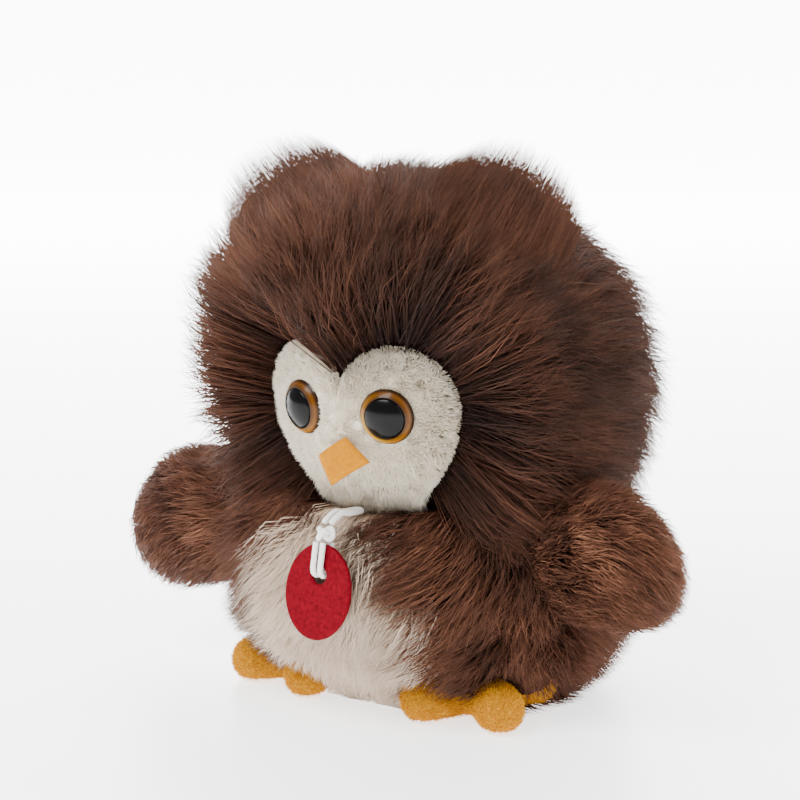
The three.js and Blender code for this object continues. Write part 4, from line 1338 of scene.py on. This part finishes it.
def coat(name, node, low, high, locks, per_lock, seed, sweep, fall, material, belly):
    """Locks between two angles round the body, on a golden spiral: brown, or white on the belly. A
    strand's tip hangs lower than its root by the fall, sweeps to the side, and stands off the body by
    its share of the pile's length there. The white's shares are cut at the throat, at the left edge
    and beside the tag. The brown's are cut at the throat and raised round the wings' roots."""
    random = np.random.default_rng(seed)
    number = np.arange(locks) + 0.5
    height = 2 * MM + (neck_height - 2.5 * MM) * number / locks
    azimuth = np.degrees(number * golden_angle) % 360
    round_to = (azimuth + 180) % 360 - 180
    on_belly = np.abs(round_to) < belly_angle(height)
    wanted = (azimuth >= low) & (azimuth < high) & (on_belly == belly)
    height, round_to = height[wanted], round_to[wanted]
    centres = np.stack([height / body_half_width, np.radians(round_to)], 1)
    roots, tips = in_locks(centres, per_lock, 0.04, 0.55, random)
    root_height = np.clip(roots[:, 0] * body_half_width, 2 * MM, 65 * MM)
    root_azimuth = np.degrees(roots[:, 1])
    drop = fall * (1 + 0.3 * np.repeat(waves(centres, seed + 3, 0.5), per_lock))
    drop = drop * smooth((70 * MM - root_height) / (22 * MM))
    tip_height = np.clip(tips[:, 0] * body_half_width - drop, 1.5 * MM, 66 * MM)
    wavering = 4 * waves(centres, seed + 5, 0.35) + random.normal(0, 1.5, len(centres))
    tip_azimuth = np.degrees(tips[:, 1]) + np.repeat(wavering, per_lock)
    tip_azimuth = tip_azimuth + sweep(tip_height, tip_azimuth)
    share = lengths(len(centres), per_lock, random)
    if belly:
        tip_height = np.minimum(tip_height, (60.5 - 2 * random.random(len(tip_height))) * MM)
        by_tag = smooth((tip_azimuth - 12) / 10) * smooth((tip_height - 32 * MM) / (8 * MM))
        share = share * (1 - 0.45 * throat_rise(tip_height))
        share = share * (1 - 0.25 * smooth((tip_azimuth - 22) / 14))
        share = share * (0.92 - 0.35 * by_tag)
    else:
        aside = np.abs(tip_azimuth)
        low_throat = (60 - 3 * random.random(len(tip_height))) * MM
        tip_height = np.where(aside < 50, np.minimum(tip_height, low_throat), tip_height)
        by_wing = np.exp(-((aside - 72) / 14) ** 2) * shoulder_rise(tip_height)
        share = share * (1 - 0.4 * throat_rise(tip_height) * smooth((60 - aside) / 14))
        share = share * (1 + 0.22 * by_wing)
    inner = on_body(root_height, root_azimuth, body_radius(root_height) + 0.3 * MM)
    full = body_pile(tip_height, tip_azimuth) - fabric
    outer = on_body(tip_height, tip_azimuth, body_radius(tip_height) + fabric + full * share)
    keep = toe_room(inner) < 0
    inner, outer, centres_of = inner[keep], outer[keep], np.repeat(centres, per_lock, axis=0)[keep]
    outer = behind_tag(trimmed(inner, outer))
    outer[:, 2] = np.maximum(outer[:, 2], 1.2 * MM)
    lifts = unit(unit(inner - [0, body_set_back, belly_widest]) + [0, 0, 0.15])
    own = 0.07 * waves(centres_of, 9, 0.08) + random.normal(0, 0.08, len(inner))
    tones = np.clip(patches(inner) + own, 0, 1)
    widths = widths_of(len(inner), random)
    dress(strands(name, inner, lifts, outer, widths, tones, material), node, "toy")


def over_belly(height, azimuth):
    """Degrees that brown tips sweep towards the belly: more at the left shoulder than at the right."""
    near = smooth(1.25 - (np.abs(azimuth) - belly_angle(height)) / 45)
    return -np.where(azimuth > 0, 11 * shoulder_rise(height) + 16, -3) * near


def tucked_in(height, azimuth):
    """Degrees that white tips turn towards the owl's right: 12 back from the left seam, none at the
    belly's middle, and 9 out over the right seam."""
    return -12 * smooth((azimuth - 12) / 24) - 9 * smooth((-azimuth - 10) / 24)


for name, low in [
    ("body_pile_left", 0),
    ("body_pile_back_left", 90),
    ("body_pile_back_right", 180),
    ("body_pile_right", 270),
]:
    coat(name, "body_cover", low, low + 90, 4000, 12, 200 + low, over_belly, 8 * MM,
         brown_pile, False)
coat("belly_pile", "belly_panel", 0, 360, 6600, 10, 240, tucked_in, 11 * MM,
     white_pile, True)


# Wings: flat stuffed paddles of the same fur, sewn to the body's side seams and free to swing. Their
# pile runs outwards to a soft round edge.
wing_size = np.array([50.5, 14, 26]) * MM
fill_size = np.array([36.5, 5, 16]) * MM
shade_scale = np.array([41, 7, 19]) * MM / fill_size
wing_locks, wing_per_lock = 1100, 12
seat_height, seat_azimuth, wing_sweep = 55 * MM, 75.0, 11.4


def swell(share, root):
    """Share of full size along a wing: a quarter sine to half its length, then a quarter circle."""
    rising = root + (1 - root) * np.sin(np.clip(share / 0.5, 0, 1) * np.pi / 2)
    falling = np.sqrt(np.clip(1 - ((share - 0.5) / 0.5) ** 2, 0, 1))
    return np.where(share < 0.5, rising, falling)


def paddle(along, share, thick_root, high_root, angle):
    """Points on a wing in shares of its size: how far along, and round a section that swells."""
    return np.stack(np.broadcast_arrays(
        along,
        swell(share, thick_root) * np.cos(angle),
        swell(share, high_root) * np.sin(angle),
    ), -1)


def pressed(local):
    """The left wing's points, pressed to 0.9 of its length and 0.82 of its height below its middle."""
    height = np.where(local[..., 2] < 0, 0.82, 1)
    return local * np.stack([np.full_like(height, 0.9), np.ones_like(height), height], -1)


# Rings lie closer together towards the tip, by a quarter sine.
wing_rows, wing_sides = 14, 28
wing_shares = 0.985 * np.sin(np.linspace(0.14, 1, wing_rows) * np.pi / 2)[:, None]
round_wing = np.arange(wing_sides) * 2 * np.pi / wing_sides
wing_faces = tube_faces(wing_rows, wing_sides)
wing_rings = fill_size * paddle(wing_shares, wing_shares, 0.26, 0.31, round_wing)
number = np.arange(wing_locks) + 0.5
wing_centres = np.stack([number / wing_locks, number * golden_angle % (2 * np.pi)], 1)
# Each wing's pile is painted lighter by its tone, 0.09 on the left and 0.04 on the right: painted light
# against the shade that falls deep into the pile.
for side, sign, lift, tone in (("left", 1, 12, 0.09), ("right", -1, -7, 0.04)):
    random = np.random.default_rng(60 + sign)
    seat = on_body(seat_height, seat_azimuth * sign, body_radius(seat_height)
                   + body_pile(seat_height, seat_azimuth) + seam_gap)
    heading = -wing_sweep if sign > 0 else 180 + wing_sweep
    turn = np.array(Matrix.Rotation(np.radians(heading), 3, "Z")
                    @ Matrix.Rotation(np.radians(-lift), 3, "Y"))
    core = new_piece(f"wing_core_{side}", wing_rings.reshape(-1, 3) @ turn.T + seat,
                     wing_faces, brown_backing)
    stuffed(core, 3 * MM, 0.8 * MM)
    dress(core, f"wing_{side}_filling", f"{side}_wing")
    # Painted shade inside the wing's pile: a nearly black paddle a little larger than the filling.
    rings = wing_rings * shade_scale
    if sign > 0:
        rings = pressed(rings)
    rings[..., 1] += sign * 2.5 * MM * smooth(2 * wing_shares)
    shade_layer(f"wing_undercoat_{side}", rings.reshape(-1, 3) @ turn.T + seat, wing_faces,
              f"wing_{side}", f"{side}_wing", painted_shade_brown)

    # The pile ends 0.87 of the way to the wing's outline, less at its tip, which also sags 8 mm and
    # is swept back 6 mm.
    roots, tips = in_locks(wing_centres, wing_per_lock, 0.06, 0.45, random)
    share = lengths(wing_locks, wing_per_lock, random)
    at = np.clip(roots[:, 0], 0.0, 0.99)
    inner = paddle(1.25 * at - 0.26, at, 0.6, 0.7, roots[:, 1])
    inner = inner * fill_size * [1, 0.95, 0.95]
    to = np.clip(0.04 + 0.95 * tips[:, 0] + 0.03 * random.normal(size=len(at)), 0.0, 0.99)
    outer = wing_size * paddle(to, to, 0.8, 0.86, tips[:, 1] + 0.08 * waves(tips, 64, 0.5))
    outer = inner + (outer - inner) * ((0.87 - 0.1 * to) * share)[:, None]
    if sign > 0:
        outer = pressed(outer)
    outer[:, 1] += sign * 6 * MM * smooth((to - 0.1) / 0.6)
    outer[:, 2] -= (3 * to + 5 * smooth((to - 0.4) / 0.6)) * MM
    lifts = unit(inner / fill_size * [0, 1, 1] + [0.5, 0, 0])
    tones = tone + tones_of(inner @ turn.T + seat, wing_locks, wing_per_lock, random)
    widths = widths_of(len(inner), random)
    pile = strands(f"wing_pile_{side}", inner @ turn.T + seat, lifts @ turn.T, outer @ turn.T + seat,
                   widths, tones, brown_pile)
    dress(pile, f"wing_{side}", f"{side}_wing")


# Feet: mustard plush, three stuffed toes each, sewn under the body's hem. Their nap is short and
# stands every way.
toe_radius, toe_sides, nap_count = 7.7 * MM, 24, 14000
foot_pad_half = np.array([12, 12, 5.4]) * MM

# Knitted polyester, dyed mustard, and its brushed nap: even, warm and matt, paler at the tips, with
# painted shade at the roots.
yellow_backing = knit_material("mustard plush backing", "#c48a1c", "#a06c12")
yellow_pile = pile_material("mustard plush nap", [
    (0, "#b07200"),
    (0.4, "#dc9608"),
    (1, "#f8bc24"),
], "#cc9a3c", "#ffffff", "#fff8e8", 0.8, 0.15)


def toe_body(tip):
    """Closed round body from the foot's pad to the toe's round tip, swelling on the way."""
    end = np.append(tip, toe_radius - 0.5 * MM)
    heading = unit(end - toe_start)
    span = np.linalg.norm(end - toe_start)
    bend = np.radians(np.linspace(0, 85, 8))
    straight = np.linspace(0, 0.9, 7)
    swelling = toe_root_radius + (toe_radius - toe_root_radius) * smooth(straight / 0.7)
    places = np.concatenate([straight * span, span + toe_radius * np.sin(bend)])[:, None, None]
    radii = np.concatenate([swelling, toe_radius * np.cos(bend)])[:, None, None]
    aside = unit(np.cross(upwards, heading))
    angle = np.arange(toe_sides)[:, None] * 2 * np.pi / toe_sides
    section = np.cos(angle) * aside + np.sin(angle) * np.cross(heading, aside)
    rings = toe_start + places * heading + radii * section
    return rings.reshape(-1, 3), tube_faces(len(rings), toe_sides)


for side, sign in (("left", 1), ("right", -1)):
    random = np.random.default_rng(90 + sign)
    points, faces = ball(egg(foot_pad_half), 12, 24)
    points = points + toe_start
    for tip in toe_tips:
        toe_points, toe_faces = toe_body(tip)
        faces += [[corner + len(points) for corner in face] for face in toe_faces]
        points = np.vstack([points, toe_points])
    points = points * [sign, 1, 1]
    points[:, 2] = np.maximum(points[:, 2], 0.5 * MM)
    if sign < 0:
        faces = [face[::-1] for face in faces]
    foot = new_piece(f"foot_core_{side}", points, faces, yellow_backing)
    stuffed(foot, 2 * MM, 0.5 * MM)
    mesh = evaluated(foot)
    mesh.calc_loop_triangles()
    corners = np.zeros(len(mesh.loop_triangles) * 3, int)
    mesh.loop_triangles.foreach_get("vertices", corners)
    triangle = mesh_points(mesh)[corners.reshape(-1, 3)]
    cross = np.cross(triangle[:, 1] - triangle[:, 0], triangle[:, 2] - triangle[:, 0])
    area = np.linalg.norm(cross, axis=1)
    chosen = random.choice(len(area), nap_count, p=area / area.sum())
    mix = random.dirichlet([1, 1, 1], nap_count)
    inner = (triangle[chosen] * mix[:, :, None]).sum(1)
    normals = unit(cross[chosen])
    from_middle = np.hypot(inner[:, 0], inner[:, 1] - body_set_back)
    keep = body_radius(np.clip(inner[:, 2], 0, 60 * MM)) < from_middle + 4 * MM
    keep &= inner[:, 2] > 1.2 * MM
    inner, normals = inner[keep], normals[keep]
    lean = random.normal(size=inner.shape) * 0.4
    nap_height = 1.1 * MM * random.uniform(0.6, 1.1, len(inner))
    outer = inner + unit(normals + lean) * nap_height[:, None]
    outer[:, 2] = np.maximum(outer[:, 2], 0.4 * MM)
    tones = 0.5 + 0.1 * waves(inner, 95, 6 * MM) + random.normal(0, 0.1, len(inner))
    pile = strands(f"foot_nap_{side}", inner - normals * 0.2 * MM, normals, outer,
                   np.full(len(inner), 0.36 * MM), tones, yellow_pile, (0,))
    for piece in (foot, pile):
        dress(piece, f"foot_{side}", "toy")


# Base and pellet bag: plain woven calico under the body, and a bag of plastic pellets over it.

# Both are unbleached cotton: matt, oatmeal coloured, with crossing threads 1 mm apart.
calico, tree, surface = new_material("plain woven calico")
coordinates = add(tree, "ShaderNodeTexCoord")
warp, weft = (add(tree, "ShaderNodeTexWave", {"bands_direction": axis}, {
    "Vector": coordinates.outputs["Object"],
    "Scale": 300.0,
}) for axis in "XY")
weave = add(tree, "ShaderNodeMixRGB", {"blend_type": "MULTIPLY"}, {
    "Fac": 1.0,
    "Color1": warp.outputs["Color"],
    "Color2": weft.outputs["Color"],
})
thread = add(tree, "ShaderNodeValToRGB", inputs={"Fac": weave.outputs["Color"]}, stops=[
    (0, "#b5a88f"),
    (1, "#d6cab4"),
])
shader = add(tree, "ShaderNodeBsdfPrincipled", inputs={
    "Base Color": thread.outputs["Color"],
    "Roughness": 0.95,
})
tree.links.new(shader.outputs[0], surface)
for name in ("base_panel", "pellet_bag"):
    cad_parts[name].data.materials.append(calico)
